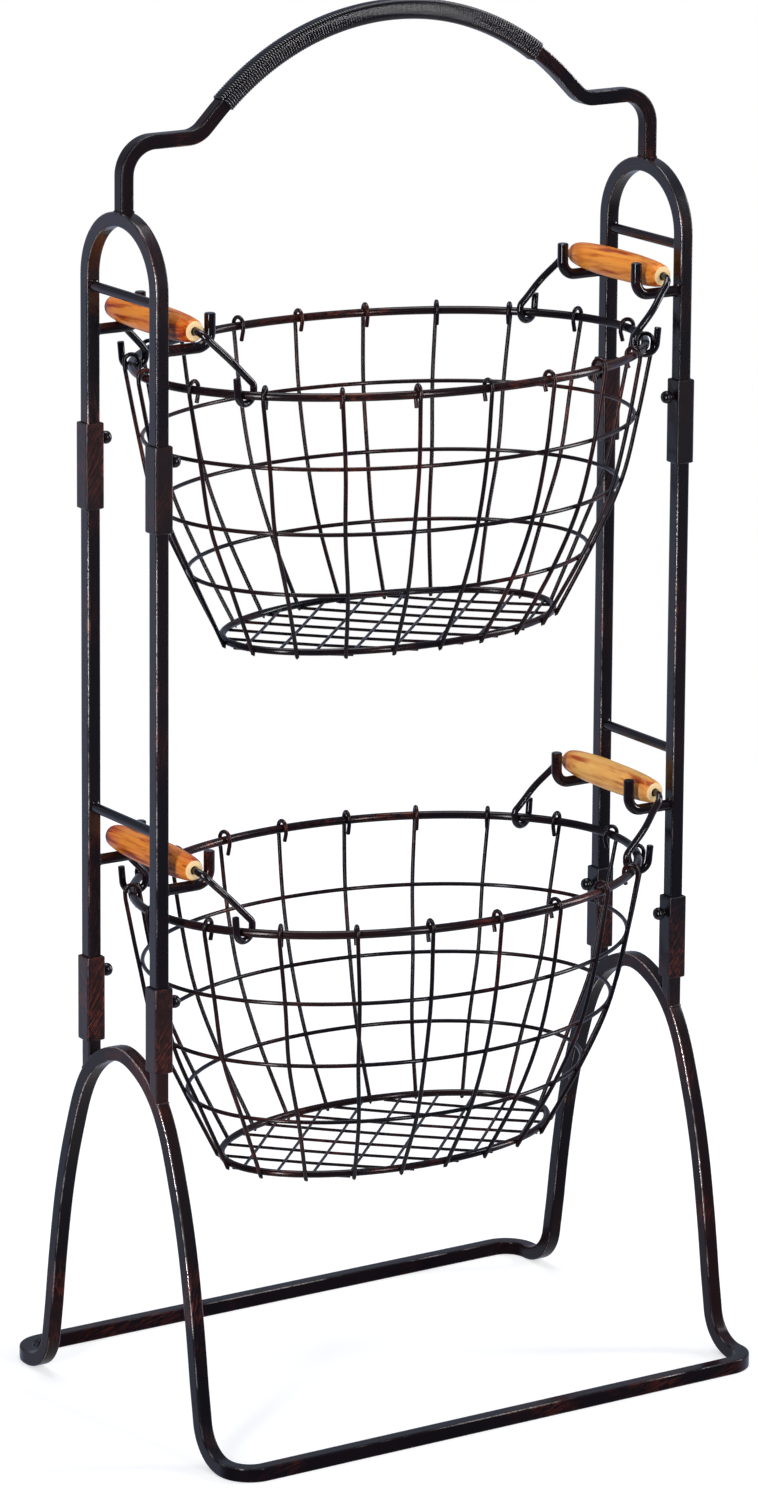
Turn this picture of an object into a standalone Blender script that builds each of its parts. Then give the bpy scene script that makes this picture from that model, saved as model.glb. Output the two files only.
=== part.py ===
"""Two-tier wire basket stand: a folded-foot base, socketed posts, a top section with a wire-wound
carrying handle, and two oval wire baskets that hang by their bails in J hooks.

Metres, +Z up. The origin is on the floor, midway between the four uprights. X runs along the
long side, Y from front to back.
"""

import math

import bpy
import bmesh
import numpy as np
from mathutils import Matrix, Vector

# Clearances
GAP = 0.0003            # between pieces that touch
WELD = 0.0012           # how far two wires of one piece run into each other
CUT_OVERRUN = 0.004     # how far a cutter runs past the wall it cuts

# Square tube frame
TUBE = 0.010            # side of the square tube
POST_X = 0.215          # from the middle to a post's axis
POST_Y = 0.045          # from the middle to a post's axis
BEND_STEP = math.radians(15)    # turn of a bend for each flat of it

# Foot frames and floor bars
ARCH_DROP = 0.0595      # top of the foot arch's axis below the top of the lower collars
LEG_SPREAD_SHARE = 0.763    # of FOOT_REACH, from the middle to the leg's axis above the sweep
LEG_SHARES = (          # half of the arch, as shares of the leg spread and the arch's height
    (0.00, 1.000), (0.25, 0.972), (0.44, 0.915), (0.575, 0.835), (0.69, 0.721),
    (0.77, 0.626), (0.84, 0.520), (0.90, 0.399), (0.94, 0.304), (0.975, 0.209),
)
LEG_LEAN = math.radians(9.5)    # of the leg's last stretch, from the vertical
FOOT_REACH = 0.131      # from the middle to where the foot sweep meets the flat bend
FOOT_BEND = 0.028       # radius of the foot sweep
BAR_OUT = 0.020         # from the end of the foot frame to the floor bar's axis
CORNER_BEND = 0.0195    # radius of the flat bend into the floor bar

# Collars, posts and rungs
COLLAR = 0.014          # outside of the square collar
COLLAR_LENGTH = 0.060
LOWER_COLLAR_TOP = 0.323
UPPER_COLLAR_TOP = 0.700
SOCKET_DEPTH = 0.030    # how deep an upper piece reaches into a collar
MID_RUNG_Z = 0.430
TOP_RUNG_Z = 0.795
RUNG = 0.007            # diameter of the rungs and of the J hooks

# J hooks, heights of the lower tier; the upper one lies TIER_PITCH higher
HOOK_Z = 0.391          # axis of the hook's level run
HOOK_TIP_X = 0.1755     # from the middle to the axis of the upturned tip
HOOK_TIP_RISE = 0.023   # top of the tip above the level run's axis
HOOK_BEND = 0.010
TIER_PITCH = 0.373

# Top arches and carrying handle
SPRING_Z = 0.802        # where the top arch's half circle starts
SHOULDER_Z = 0.898      # axis of the handle's level shoulders
SHOULDER_BEND = 0.022
DIP_BEND = 0.020
HANDLE_TOP = 0.973      # axis of the handle at its highest point
HANDLE_ARC = 0.201      # radius of the handle's large arc
HANDLE_SLOPE = math.radians(45)
HANDLE_STEP = math.radians(5)
HANDLE_CHAMFER = 0.0015

# Wire winding on the handle
WINDING_WIRE = 0.002
WINDING_TURNS = 36
WINDING_START = math.radians(-43)
WINDING_END = math.radians(36)
WINDING_CORNER = 0.0041     # from the bar's middle plane to a turn's bend, along a flat

# Thumb screws
SCREW = 0.004           # thread diameter
SCREW_DROP = 0.012      # below the collar's top
SCREW_NECK = 0.0052
SCREW_NECK_LENGTH = 0.0016
SCREW_HEAD = 0.0092
SCREW_HEAD_LENGTH = 0.0072
SCREW_SIDES = 8
HEAD_SHARES = ((0.00, 0.62), (0.16, 0.90), (0.42, 1.00), (0.70, 0.92), (0.90, 0.62), (1.00, 0.30))

# Baskets
RIM_HALF_LENGTH = 0.192
RIM_HALF_WIDTH = 0.138
RIM_DROP = 0.0304       # the rim's axis below the hooks' level run
BASKET_DEPTH = 0.1905   # rim axis to bottom ring axis
LEVEL_SHARES = {        # of BASKET_DEPTH, RIM_HALF_LENGTH and RIM_HALF_WIDTH
    "rim": (0.0, 1.0, 1.0),
    "top_hoop": (0.265, 0.958, 0.971),
    "mid_hoop": (0.515, 0.901, 0.884),
    "low_hoop": (0.759, 0.792, 0.746),
    "ring": (1.0, 0.672, 0.536),
}
RIM_WIRE = 0.006
RING_WIRE = 0.005
CAGE_WIRE = 0.003
CAGE_WIRES = 20
WIRE_TAIL = 0.009       # end of a wire's tail below the rim's axis
UPPER_WIRE_SHIFT = -0.012   # along the rim, the upper basket's wires against the lower one's
LATTICE_WIRE = 0.0022
LATTICE_PITCH = 0.025
LATTICE_OFFSET = 0.006  # of the lattice's lines from the middle
LATTICE_LIFT = -0.0002  # the upper layer's axis against the ring's
LATTICE_STEP = 0.0024   # the lower layer below the upper one
LATTICE_SHORTEST = 0.045
LATTICE_END = 0.001     # a lattice wire's end past the ring's axis

# Bails and grips
BAIL = 0.005            # bail wire diameter
BAIL_SPOT = math.radians(31.6)  # where a bail hooks on the rim, as the ellipse's own angle
BAIL_HOOK = 0.008       # radius of the round hook
BAIL_HOOK_TURN = math.radians(18)   # the hook's plane, from straight across the stand
BAIL_STUB = 0.012       # straight end of the hook
BAIL_KNEE = 0.004       # straight stretch above the hook
BAIL_BEND = 0.005
BAIL_STEP = math.radians(30)    # turn of a bend for each flat of it
BAIL_RUNOUT = 0.0025    # straight wire past the grip's end
GRIP_LENGTH = 0.110
GRIP = 0.0212           # largest diameter
GRIP_X = 0.192          # from the middle to the grip's axis
GRIP_SHARES = (         # from the middle to the end, of half the length and of the radius
    (0.0, 1.00), (0.32, 0.985), (0.60, 0.93), (0.82, 0.84), (0.94, 0.74), (1.0, 0.56),
)
GRIP_SIDES = 12

SIDES = (("left", -1), ("right", 1))
ENDS = (("front", -1), ("back", 1))
TIERS = (("lower", 0.0, 0.0), ("upper", TIER_PITCH, UPPER_WIRE_SHIFT))


def clear_scene():
    for item in list(bpy.data.objects):
        bpy.data.objects.remove(item, do_unlink=True)


def material(name, colour, roughness, metallic):
    found = bpy.data.materials.get(name)
    if found:
        return found
    made = bpy.data.materials.new(name)
    made.use_nodes = True
    shader = made.node_tree.nodes["Principled BSDF"]
    shader.inputs["Base Color"].default_value = (*colour, 1.0)
    shader.inputs["Roughness"].default_value = roughness
    shader.inputs["Metallic"].default_value = metallic
    return made


def bronze():
    return material("bronzed steel", (0.035, 0.026, 0.026), 0.38, 0.85)


def wood():
    return material("stained wood", (0.56, 0.22, 0.06), 0.42, 0.0)


def pivot(name, place, parent=None):
    """An empty on a joint's axis; the pieces that move with the joint hang from it."""
    empty = bpy.data.objects.new(name, None)
    bpy.context.collection.objects.link(empty)
    empty.parent = parent
    empty.location = Vector(place) - (home(parent) if parent else Vector())
    return empty


def home(item):
    """World place of an object whose parents are only moved, never turned."""
    place = Vector()
    while item:
        place += item.location
        item = item.parent
    return place


def add(name, mesh, holder, paint, smooth=None):
    """Link a mesh made in world places as an object with its holder's origin."""
    origin = home(holder)
    mesh.name = name
    mesh.transform(Matrix.Translation(-origin))
    mesh.materials.clear()
    mesh.materials.append(paint)
    if smooth:
        mesh.shade_smooth()
        mesh.set_sharp_from_angle(angle=smooth)
    item = bpy.data.objects.new(name, mesh)
    bpy.context.collection.objects.link(item)
    item.parent = holder
    return item


def mesh_from(bm):
    bmesh.ops.recalc_face_normals(bm, faces=bm.faces)
    mesh = bpy.data.meshes.new("shape")
    bm.to_mesh(mesh)
    bm.free()
    return mesh


def rounded(corners, radii, step=BEND_STEP):
    """The path through some corner points, each corner but the ends bent to its radius."""
    corners = [Vector(point) for point in corners]
    path = [corners[0]]
    for before, corner, after, radius in zip(corners, corners[1:], corners[2:], radii):
        back = (before - corner).normalized()
        ahead = (after - corner).normalized()
        turn = math.pi - back.angle(ahead)
        cut = radius * math.tan(turn / 2)
        centre = corner + (back + ahead).normalized() * (radius / math.cos(turn / 2))
        start = corner + back * cut - centre
        end = corner + ahead * cut - centre
        axis = start.cross(end).normalized()
        flats = max(1, round(turn / step))
        for flat in range(flats + 1):
            path.append(centre + Matrix.Rotation(turn * flat / flats, 3, axis) @ start)
    path.append(corners[-1])
    return path


def square_section(side, chamfer=0.0):
    """Corners of a square, or of a square with cut corners, as (across, along the normal)."""
    half = side / 2
    if not chamfer:
        return [(-half, -half), (half, -half), (half, half), (-half, half)]
    cut = half - chamfer
    return [(-cut, -half), (cut, -half), (half, -cut), (half, cut),
            (cut, half), (-cut, half), (-half, cut), (-half, -cut)]


def bar(path, normal, section):
    """A bar of the given section along a flat path, mitred, with closed ends."""
    normal = Vector(normal)
    bm = bmesh.new()
    rings = []
    for index, point in enumerate(path):
        before = (point - path[index - 1]).normalized() if index else None
        after = (path[index + 1] - point).normalized() if index + 1 < len(path) else None
        before = before or after
        after = after or before
        across = normal.cross(before + after).normalized()
        stretch = 1 / across.dot(normal.cross(before))
        rings.append([bm.verts.new(point + across * (u * stretch) + normal * v) for u, v in section])
    for near, far in zip(rings, rings[1:]):
        for index in range(len(section)):
            follow = (index + 1) % len(section)
            bm.faces.new((near[index], near[follow], far[follow], far[index]))
    bm.faces.new(rings[0])
    bm.faces.new(rings[-1])
    return mesh_from(bm)


def rods(paths, diameter, resolution=1, cyclic=False):
    """Round wires along the given paths, as one mesh of 4 + 2 * resolution sides."""
    curve = bpy.data.curves.new("wire", "CURVE")
    curve.dimensions = "3D"
    curve.bevel_depth = diameter / 2
    curve.bevel_resolution = resolution
    curve.use_fill_caps = True
    curve.twist_mode = "MINIMUM"
    for path in paths:
        spline = curve.splines.new("POLY")
        spline.points.add(len(path) - 1)
        for target, point in zip(spline.points, path):
            target.co = (*point, 1.0)
        spline.use_cyclic_u = cyclic
    item = bpy.data.objects.new("wire", curve)
    bpy.context.collection.objects.link(item)
    bpy.context.view_layer.update()
    evaluated = item.evaluated_get(bpy.context.evaluated_depsgraph_get())
    mesh = bpy.data.meshes.new_from_object(evaluated)
    bpy.data.objects.remove(item, do_unlink=True)
    bpy.data.curves.remove(curve)
    return mesh


def turned(profile, sides, place, axis):
    """A closed turned piece; the profile is a list of (along the axis, radius), a loop where it
    keeps off the axis and open where it starts and ends on it."""
    frame = axis.to_track_quat("Z", "Y").to_matrix()
    bm = bmesh.new()
    rings = []
    for along, radius in profile:
        if radius:
            angles = [2 * math.pi * k / sides for k in range(sides)]
            points = [Vector((radius * math.cos(a), radius * math.sin(a), along)) for a in angles]
        else:
            points = [Vector((0.0, 0.0, along))]
        rings.append([bm.verts.new(place + frame @ point) for point in points])
    pairs = list(zip(rings, rings[1:]))
    if len(rings[0]) > 1:
        pairs.append((rings[-1], rings[0]))
    for near, far in pairs:
        for k in range(sides):
            follow = (k + 1) % sides
            if len(near) == 1:
                bm.faces.new((near[0], far[follow], far[k]))
            elif len(far) == 1:
                bm.faces.new((near[k], near[follow], far[0]))
            else:
                bm.faces.new((near[k], near[follow], far[follow], far[k]))
    return mesh_from(bm)


def block(low, high):
    bm = bmesh.new()
    bmesh.ops.create_cube(bm, size=1.0)
    centre = (Vector(low) + Vector(high)) / 2
    size = Vector(high) - Vector(low)
    bm.transform(Matrix.Translation(centre) @ Matrix.Diagonal(size).to_4x4())
    return mesh_from(bm)


def combine(target, tool_mesh, operation):
    """Boolean of an object with a hidden tool mesh given in world places."""
    tool = add(target.name + "_" + operation.lower() + "_tool", tool_mesh, target.parent, bronze())
    tool.hide_render = True
    tool.display_type = "WIRE"
    modifier = target.modifiers.new(operation.title(), "BOOLEAN")
    modifier.operation = operation
    modifier.solver = "EXACT"
    modifier.object = tool
    return tool


def leg_places():
    """Half of the foot arch's axis, from its top down to the foot sweep, as (y, z)."""
    spread = LEG_SPREAD_SHARE * FOOT_REACH
    height = LOWER_COLLAR_TOP - ARCH_DROP
    return [(y * spread, z * height) for y, z in LEG_SHARES]


def foot_arch_path(x):
    """Axis of a side foot frame: arch, legs and swept feet, in the upright plane at x."""
    half = leg_places()
    last_y, last_z = half[-1]
    floor = TUBE / 2
    toe = (last_y + (last_z - floor) * math.tan(LEG_LEAN), floor)
    sweep = rounded([(0.0, last_y, last_z), (0.0, *toe), (0.0, FOOT_REACH, floor)], [FOOT_BEND])
    front = [Vector((x, y, z)) for y, z in half] + [Vector((x, p.y, p.z)) for p in sweep[1:]]
    return [Vector((x, -p.y, p.z)) for p in reversed(front[1:])] + front


def foot_arch_outside(y):
    """Height of the foot arch's outer face at a distance y from the middle."""
    half = [Vector(place) for place in leg_places()]
    points = []
    for before, after in zip(half, half[1:]):
        out = (after - before).normalized()
        out = Vector((-out.y, out.x)) * (TUBE / 2)
        points += [before + out, after + out]
    return float(np.interp(y, [p.x for p in points], [p.y for p in points]))


def make_base(root):
    for side, sign in SIDES:
        mesh = bar(foot_arch_path(sign * POST_X), (1, 0, 0), square_section(TUBE))
        add("base_side_" + side, mesh, root, bronze())
    for end, sign in ENDS:
        heel = FOOT_REACH + GAP
        run = FOOT_REACH + BAR_OUT
        corners = [(-POST_X, sign * heel), (-POST_X, sign * run), (POST_X, sign * run), (POST_X, sign * heel)]
        path = rounded([(x, y, TUBE / 2) for x, y in corners], [CORNER_BEND, CORNER_BEND])
        add("floor_bar_" + end, bar(path, (0, 0, 1), square_section(TUBE)), root, bronze())


def stub_foot(x, sign):
    """A post stub from the foot arch's back up into its collar, its lower end cut to the arch."""
    near, far = POST_Y - TUBE / 2, POST_Y + TUBE / 2
    low, high = foot_arch_outside(near), foot_arch_outside(far)
    bulge = 0.0
    for share in np.linspace(0.0, 1.0, 9):
        bulge = max(bulge, foot_arch_outside(near + (far - near) * share) - low - (high - low) * share)
    mesh = block((x - TUBE / 2, sign * POST_Y - TUBE / 2, 0.0),
                 (x + TUBE / 2, sign * POST_Y + TUBE / 2, LOWER_COLLAR_TOP - COLLAR_LENGTH + WELD))
    for vertex in mesh.vertices:
        if vertex.co.z < GAP:
            seat = low if abs(vertex.co.y) < POST_Y else high
            vertex.co.z = seat + bulge + GAP
    return mesh


def sleeve(x, y, top):
    """A collar as a solid block, before it gets its hollow."""
    half = COLLAR / 2
    return block((x - half, y - half, top - COLLAR_LENGTH), (x + half, y + half, top))


def screw_hole(x, y, z, sign):
    """Cutter for the screw's hole in the collar wall that faces the baskets."""
    inner = POST_X - COLLAR / 2 - CUT_OVERRUN
    radius = (SCREW / 2 + GAP) / math.cos(math.pi / SCREW_SIDES)
    outer = POST_X - TUBE / 2 + GAP / 2
    length = outer - inner
    profile = [(0.0, 0.0), (0.0, radius), (length, radius), (length, 0.0)]
    return turned(profile, SCREW_SIDES, Vector((sign * inner, y, z)), Vector((sign, 0, 0)))


def make_sockets(root):
    bore = TUBE / 2 + GAP
    for side, x_sign in SIDES:
        for end, y_sign in ENDS:
            x, y = x_sign * POST_X, y_sign * POST_Y
            top = LOWER_COLLAR_TOP
            item = add(f"lower_socket_{side}_{end}", sleeve(x, y, top), root, bronze())
            hollow = block((x - bore, y - bore, top - SOCKET_DEPTH), (x + bore, y + bore, top + CUT_OVERRUN))
            combine(item, hollow, "DIFFERENCE")
            combine(item, screw_hole(x, y, top - SCREW_DROP, x_sign), "DIFFERENCE")
            combine(item, stub_foot(x, y_sign), "UNION")


def j_hook(x_sign, y, z):
    face = POST_X - TUBE / 2 - GAP
    corners = [(face, z), (HOOK_TIP_X, z), (HOOK_TIP_X, z + HOOK_TIP_RISE)]
    path = rounded([(x_sign * x, y, height) for x, height in corners], [HOOK_BEND])
    return rods([path], RUNG)


def rung(x, z):
    reach = POST_Y - TUBE / 2 - GAP
    return rods([[Vector((x, -reach, z)), Vector((x, reach, z))]], RUNG)


def make_mid_section(holders):
    bore = TUBE / 2 + GAP
    bottom = LOWER_COLLAR_TOP - SOCKET_DEPTH + GAP
    joint = UPPER_COLLAR_TOP - SOCKET_DEPTH
    for side, x_sign in SIDES:
        holder = holders[side]
        x = x_sign * POST_X
        for end, y_sign in ENDS:
            y = y_sign * POST_Y
            post = block((x - TUBE / 2, y - TUBE / 2, bottom), (x + TUBE / 2, y + TUBE / 2, joint))
            add(f"mid_post_{side}_{end}", post, holder, bronze())
            top = UPPER_COLLAR_TOP
            collar = add(f"upper_collar_{side}_{end}", sleeve(x, y, top), holder, bronze())
            under = top - COLLAR_LENGTH - CUT_OVERRUN
            hollow = block((x - bore, y - bore, under), (x + bore, y + bore, top + CUT_OVERRUN))
            combine(collar, hollow, "DIFFERENCE")
            combine(collar, screw_hole(x, y, top - SCREW_DROP, x_sign), "DIFFERENCE")
            add(f"mid_hook_{side}_{end}", j_hook(x_sign, y, HOOK_Z), holder, bronze(), math.radians(40))
        add("mid_rung_" + side, rung(x, MID_RUNG_Z), holder, bronze(), math.radians(40))


def handle_path():
    """Half of the handle's axis from the top arch up to the large arc, then the arc, then back."""
    foot = SPRING_Z + POST_Y + TUBE / 2 + GAP
    centre_z = HANDLE_TOP - HANDLE_ARC
    tangent_x = HANDLE_ARC * math.sin(HANDLE_SLOPE)
    tangent_z = centre_z + HANDLE_ARC * math.cos(HANDLE_SLOPE)
    dip_x = tangent_x + (tangent_z - SHOULDER_Z) / math.tan(HANDLE_SLOPE)
    corners = [(POST_X, 0, foot), (POST_X, 0, SHOULDER_Z), (dip_x, 0, SHOULDER_Z), (tangent_x, 0, tangent_z)]
    right = rounded(corners, [SHOULDER_BEND, DIP_BEND])
    flats = round(2 * HANDLE_SLOPE / HANDLE_STEP)
    arc = []
    for k in range(1, flats):
        angle = HANDLE_SLOPE - 2 * HANDLE_SLOPE * k / flats
        arc.append(Vector((HANDLE_ARC * math.sin(angle), 0.0, centre_z + HANDLE_ARC * math.cos(angle))))
    left = [Vector((-p.x, p.y, p.z)) for p in reversed(right)]
    return right + arc + left


def winding_points():
    """The winding's axis: each turn has eight points that follow the chamfered square bar."""
    flat = TUBE / 2 + WINDING_WIRE / 2 + GAP
    corner = WINDING_CORNER
    turn = [(flat, -corner), (flat, corner), (corner, flat), (-corner, flat),
            (-flat, corner), (-flat, -corner), (-corner, -flat), (corner, -flat)]
    steps = WINDING_TURNS * len(turn)
    centre_z = HANDLE_TOP - HANDLE_ARC
    points = []
    for k in range(steps + 1):
        angle = WINDING_START + (WINDING_END - WINDING_START) * k / steps
        u, v = turn[k % len(turn)]
        radius = HANDLE_ARC + v
        points.append(Vector((radius * math.sin(angle), u, centre_z + radius * math.cos(angle))))
    first = points[0] - (points[1] - points[0]).normalized() * WINDING_WIRE
    last = points[-1] + (points[-1] - points[-2]).normalized() * WINDING_WIRE
    return [first] + points + [last]


def least_gap(points, diameter, skip):
    """Least distance between stretches of the wire that are not neighbours, less its diameter."""
    middle = np.array([(a + b) / 2 for a, b in zip(points, points[1:])] + list(points))
    order = np.array([k + 0.5 for k in range(len(points) - 1)] + list(range(len(points))))
    least = math.inf
    for place, here in zip(middle, order):
        others = middle[np.abs(order - here) >= skip]
        least = min(least, np.sqrt(((others - place) ** 2).sum(axis=1)).min())
    return least - diameter


def make_top_section(holder):
    for side, x_sign in SIDES:
        x = x_sign * POST_X
        start = UPPER_COLLAR_TOP - SOCKET_DEPTH + GAP
        flats = round(math.pi / BEND_STEP)
        crown = []
        for k in range(flats + 1):
            angle = math.pi * k / flats
            crown.append(Vector((x, -POST_Y * math.cos(angle), SPRING_Z + POST_Y * math.sin(angle))))
        path = [Vector((x, -POST_Y, start))] + crown + [Vector((x, POST_Y, start))]
        add("top_arch_" + side, bar(path, (1, 0, 0), square_section(TUBE)), holder, bronze())
        add("top_rung_" + side, rung(x, TOP_RUNG_Z), holder, bronze(), math.radians(40))
        for end, y_sign in ENDS:
            hook = j_hook(x_sign, y_sign * POST_Y, HOOK_Z + TIER_PITCH)
            add(f"top_hook_{side}_{end}", hook, holder, bronze(), math.radians(40))
    section = square_section(TUBE, HANDLE_CHAMFER)
    add("handle_bar", bar(handle_path(), (0, 1, 0), section), holder, bronze())
    points = winding_points()
    add("handle_winding", rods([points], WINDING_WIRE), holder, bronze(), math.radians(60))
    print("winding: least gap to itself %.2f mm" % (1000 * least_gap(points, WINDING_WIRE, 5)))


def make_screw(name, x_sign, y, z, parent):
    """Thumb screw with a ball head, its origin on its axis at the collar's face."""
    face = POST_X - COLLAR / 2
    tip = POST_X - TUBE / 2 - GAP
    holder = pivot(name + "_axis", (x_sign * face, y, z), parent)
    neck = face - GAP
    profile = [(tip, 0.0), (tip, SCREW / 2), (neck, SCREW / 2), (neck, SCREW_NECK / 2)]
    head = neck - SCREW_NECK_LENGTH
    for along, across in HEAD_SHARES:
        profile.append((head - along * SCREW_HEAD_LENGTH, across * SCREW_HEAD / 2))
    profile.append((head - SCREW_HEAD_LENGTH, 0.0))
    mesh = turned(profile, SCREW_SIDES, Vector((0, y, z)), Vector((x_sign, 0, 0)))
    add(name, mesh, holder, bronze(), math.radians(50))


def make_screws(root, holders):
    for side, x_sign in SIDES:
        for end, y_sign in ENDS:
            y = y_sign * POST_Y
            make_screw(f"screw_lower_{side}_{end}", x_sign, y, LOWER_COLLAR_TOP - SCREW_DROP, root)
            make_screw(f"screw_upper_{side}_{end}", x_sign, y, UPPER_COLLAR_TOP - SCREW_DROP, holders[side])


def level(name):
    """Depth below the rim and half axes of one of the basket's rings."""
    depth, length, width = LEVEL_SHARES[name]
    return depth * BASKET_DEPTH, length * RIM_HALF_LENGTH, width * RIM_HALF_WIDTH


def rim_angles(count, shift):
    """The ellipse's own angles of points spaced evenly along the rim."""
    angles = np.linspace(0.0, 2 * math.pi, 4001)
    speed = np.hypot(RIM_HALF_LENGTH * np.sin(angles), RIM_HALF_WIDTH * np.cos(angles))
    run = np.concatenate([[0.0], np.cumsum((speed[1:] + speed[:-1]) / 2 * np.diff(angles))])
    places = (run[-1] * np.arange(count) / count + shift) % run[-1]
    return [float(angle) for angle in np.interp(places, run, angles)]


def on_ring(name, angle, out=0.0, rise=0.0, rim_z=0.0):
    """A point beside a ring at the ellipse's own angle, moved outward and up."""
    depth, length, width = level(name)
    normal = Vector((width * math.cos(angle), length * math.sin(angle), 0.0)).normalized()
    place = Vector((length * math.cos(angle), width * math.sin(angle), rim_z - depth + rise))
    return place + normal * out


def ring_mesh(name, wire, angles, rim_z, resolution):
    path = [on_ring(name, angle, rim_z=rim_z) for angle in angles]
    return rods([path], wire, resolution, cyclic=True)


def cage_wire_path(angle, rim_z):
    """One upright wire: tail inside the rim, loop over it, then down outside the hoops."""
    turn = math.pi / 4
    beside = RIM_WIRE / 2 + CAGE_WIRE / 2 + GAP
    over = beside / math.cos(turn / 2)
    beside_hoop = CAGE_WIRE + GAP
    beside_ring = RING_WIRE / 2 + CAGE_WIRE / 2 + GAP
    above = on_ring("low_hoop", angle, beside_hoop, 0.0, rim_z)
    slant = (on_ring("ring", angle, beside_ring, 0.0, rim_z) - above).normalized()
    seat = on_ring("ring", angle, beside_ring / -slant.z, 0.0, rim_z)
    path = [on_ring("rim", angle, -beside, -WIRE_TAIL, rim_z), on_ring("rim", angle, -beside, 0.0, rim_z)]
    for k in (3, 2, 1):
        path.append(on_ring("rim", angle, over * math.cos(k * turn), over * math.sin(k * turn), rim_z))
    path.append(on_ring("rim", angle, beside, 0.0, rim_z))
    path.append(on_ring("top_hoop", angle, beside_hoop, 0.0, rim_z))
    path.append(on_ring("mid_hoop", angle, CAGE_WIRE - WELD, 0.0, rim_z))
    path.append(above)
    path.append(seat + (seat - above).normalized() * (RING_WIRE / 2))
    return path


def lattice_paths(turn, height):
    """One layer of the bottom's diagonal wires, cut to the bottom ring."""
    _, length, width = level("ring")
    along = Vector((math.cos(turn), math.sin(turn), 0.0))
    across = Vector((-along.y, along.x, 0.0))
    reach = math.hypot(length * across.x, width * across.y)
    count = math.ceil(reach / LATTICE_PITCH)
    square = (along.x / length) ** 2 + (along.y / width) ** 2
    paths = []
    for k in range(-count, count + 1):
        start = across * (k * LATTICE_PITCH + LATTICE_OFFSET)
        slope = start.x * along.x / length ** 2 + start.y * along.y / width ** 2
        rest = (start.x / length) ** 2 + (start.y / width) ** 2 - 1
        root = slope ** 2 - square * rest
        if root <= 0 or 2 * math.sqrt(root) / square < LATTICE_SHORTEST:
            continue
        half = math.sqrt(root) / square + LATTICE_END
        middle = start - along * (slope / square) + Vector((0.0, 0.0, height))
        paths.append([middle - along * half, middle + along * half])
    return paths


def make_basket(tier, rim_z, shift, holder):
    vertices = rim_angles(2 * CAGE_WIRES, shift)
    wires = vertices[::2]
    smooth = math.radians(60)
    add("rim_" + tier, ring_mesh("rim", RIM_WIRE, vertices, rim_z, 1), holder, bronze(), smooth)
    add("hoop_top_" + tier, ring_mesh("top_hoop", CAGE_WIRE, vertices, rim_z, 0), holder, bronze(), smooth)
    add("hoop_low_" + tier, ring_mesh("low_hoop", CAGE_WIRE, vertices, rim_z, 0), holder, bronze(), smooth)
    hoop = add("cage_" + tier, ring_mesh("mid_hoop", CAGE_WIRE, vertices, rim_z, 0), holder, bronze(), smooth)
    combine(hoop, rods([cage_wire_path(angle, rim_z) for angle in wires], CAGE_WIRE, 0), "UNION")
    ring_z = rim_z - BASKET_DEPTH
    ring = add("bottom_" + tier, ring_mesh("ring", RING_WIRE, vertices, rim_z, 1), holder, bronze(), smooth)
    layers = lattice_paths(math.radians(45), ring_z + LATTICE_LIFT)
    layers += lattice_paths(math.radians(-45), ring_z + LATTICE_LIFT - LATTICE_STEP)
    combine(ring, rods(layers, LATTICE_WIRE, 0), "UNION")


def grip_radius(distance):
    """The grip's radius at a distance from its middle."""
    share = distance / (GRIP_LENGTH / 2)
    return GRIP / 2 * float(np.interp(share, [s for s, _ in GRIP_SHARES], [r for _, r in GRIP_SHARES]))


def grip_axis_z():
    """Height of the lower grips' axis: they lie on the hooks' level runs."""
    return HOOK_Z + RUNG / 2 + grip_radius(POST_Y - RUNG / 2) + GAP


def bail_half(x_sign, y_sign, rise):
    """Half of a bail, from the middle of its grip to the end of its hook."""
    rim_z = HOOK_Z - RIM_DROP + rise
    spot = on_ring("rim", BAIL_SPOT, rim_z=rim_z)
    out = Vector((math.cos(BAIL_HOOK_TURN), math.sin(BAIL_HOOK_TURN), 0.0))
    bottom = rim_z - RIM_WIRE / 2 - GAP - BAIL / 2
    centre = Vector((spot.x, spot.y, bottom + BAIL_HOOK))
    down = Vector((0.0, 0.0, -BAIL_HOOK))
    knee = centre - out * BAIL_HOOK + Vector((0.0, 0.0, BAIL_KNEE))
    corners = [
        Vector((GRIP_X, 0.0, grip_axis_z() + rise)),
        Vector((GRIP_X, GRIP_LENGTH / 2 + BAIL_RUNOUT + BAIL_BEND, grip_axis_z() + rise)),
        knee,
        centre - out * BAIL_HOOK + down,
        centre + out * BAIL_HOOK + down,
        centre + out * BAIL_HOOK + Vector((0.0, 0.0, BAIL_STUB)),
    ]
    path = rounded(corners, [BAIL_BEND, BAIL_BEND, BAIL_HOOK, BAIL_HOOK], BAIL_STEP)
    return [Vector((x_sign * p.x, y_sign * p.y, p.z)) for p in path]


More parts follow.
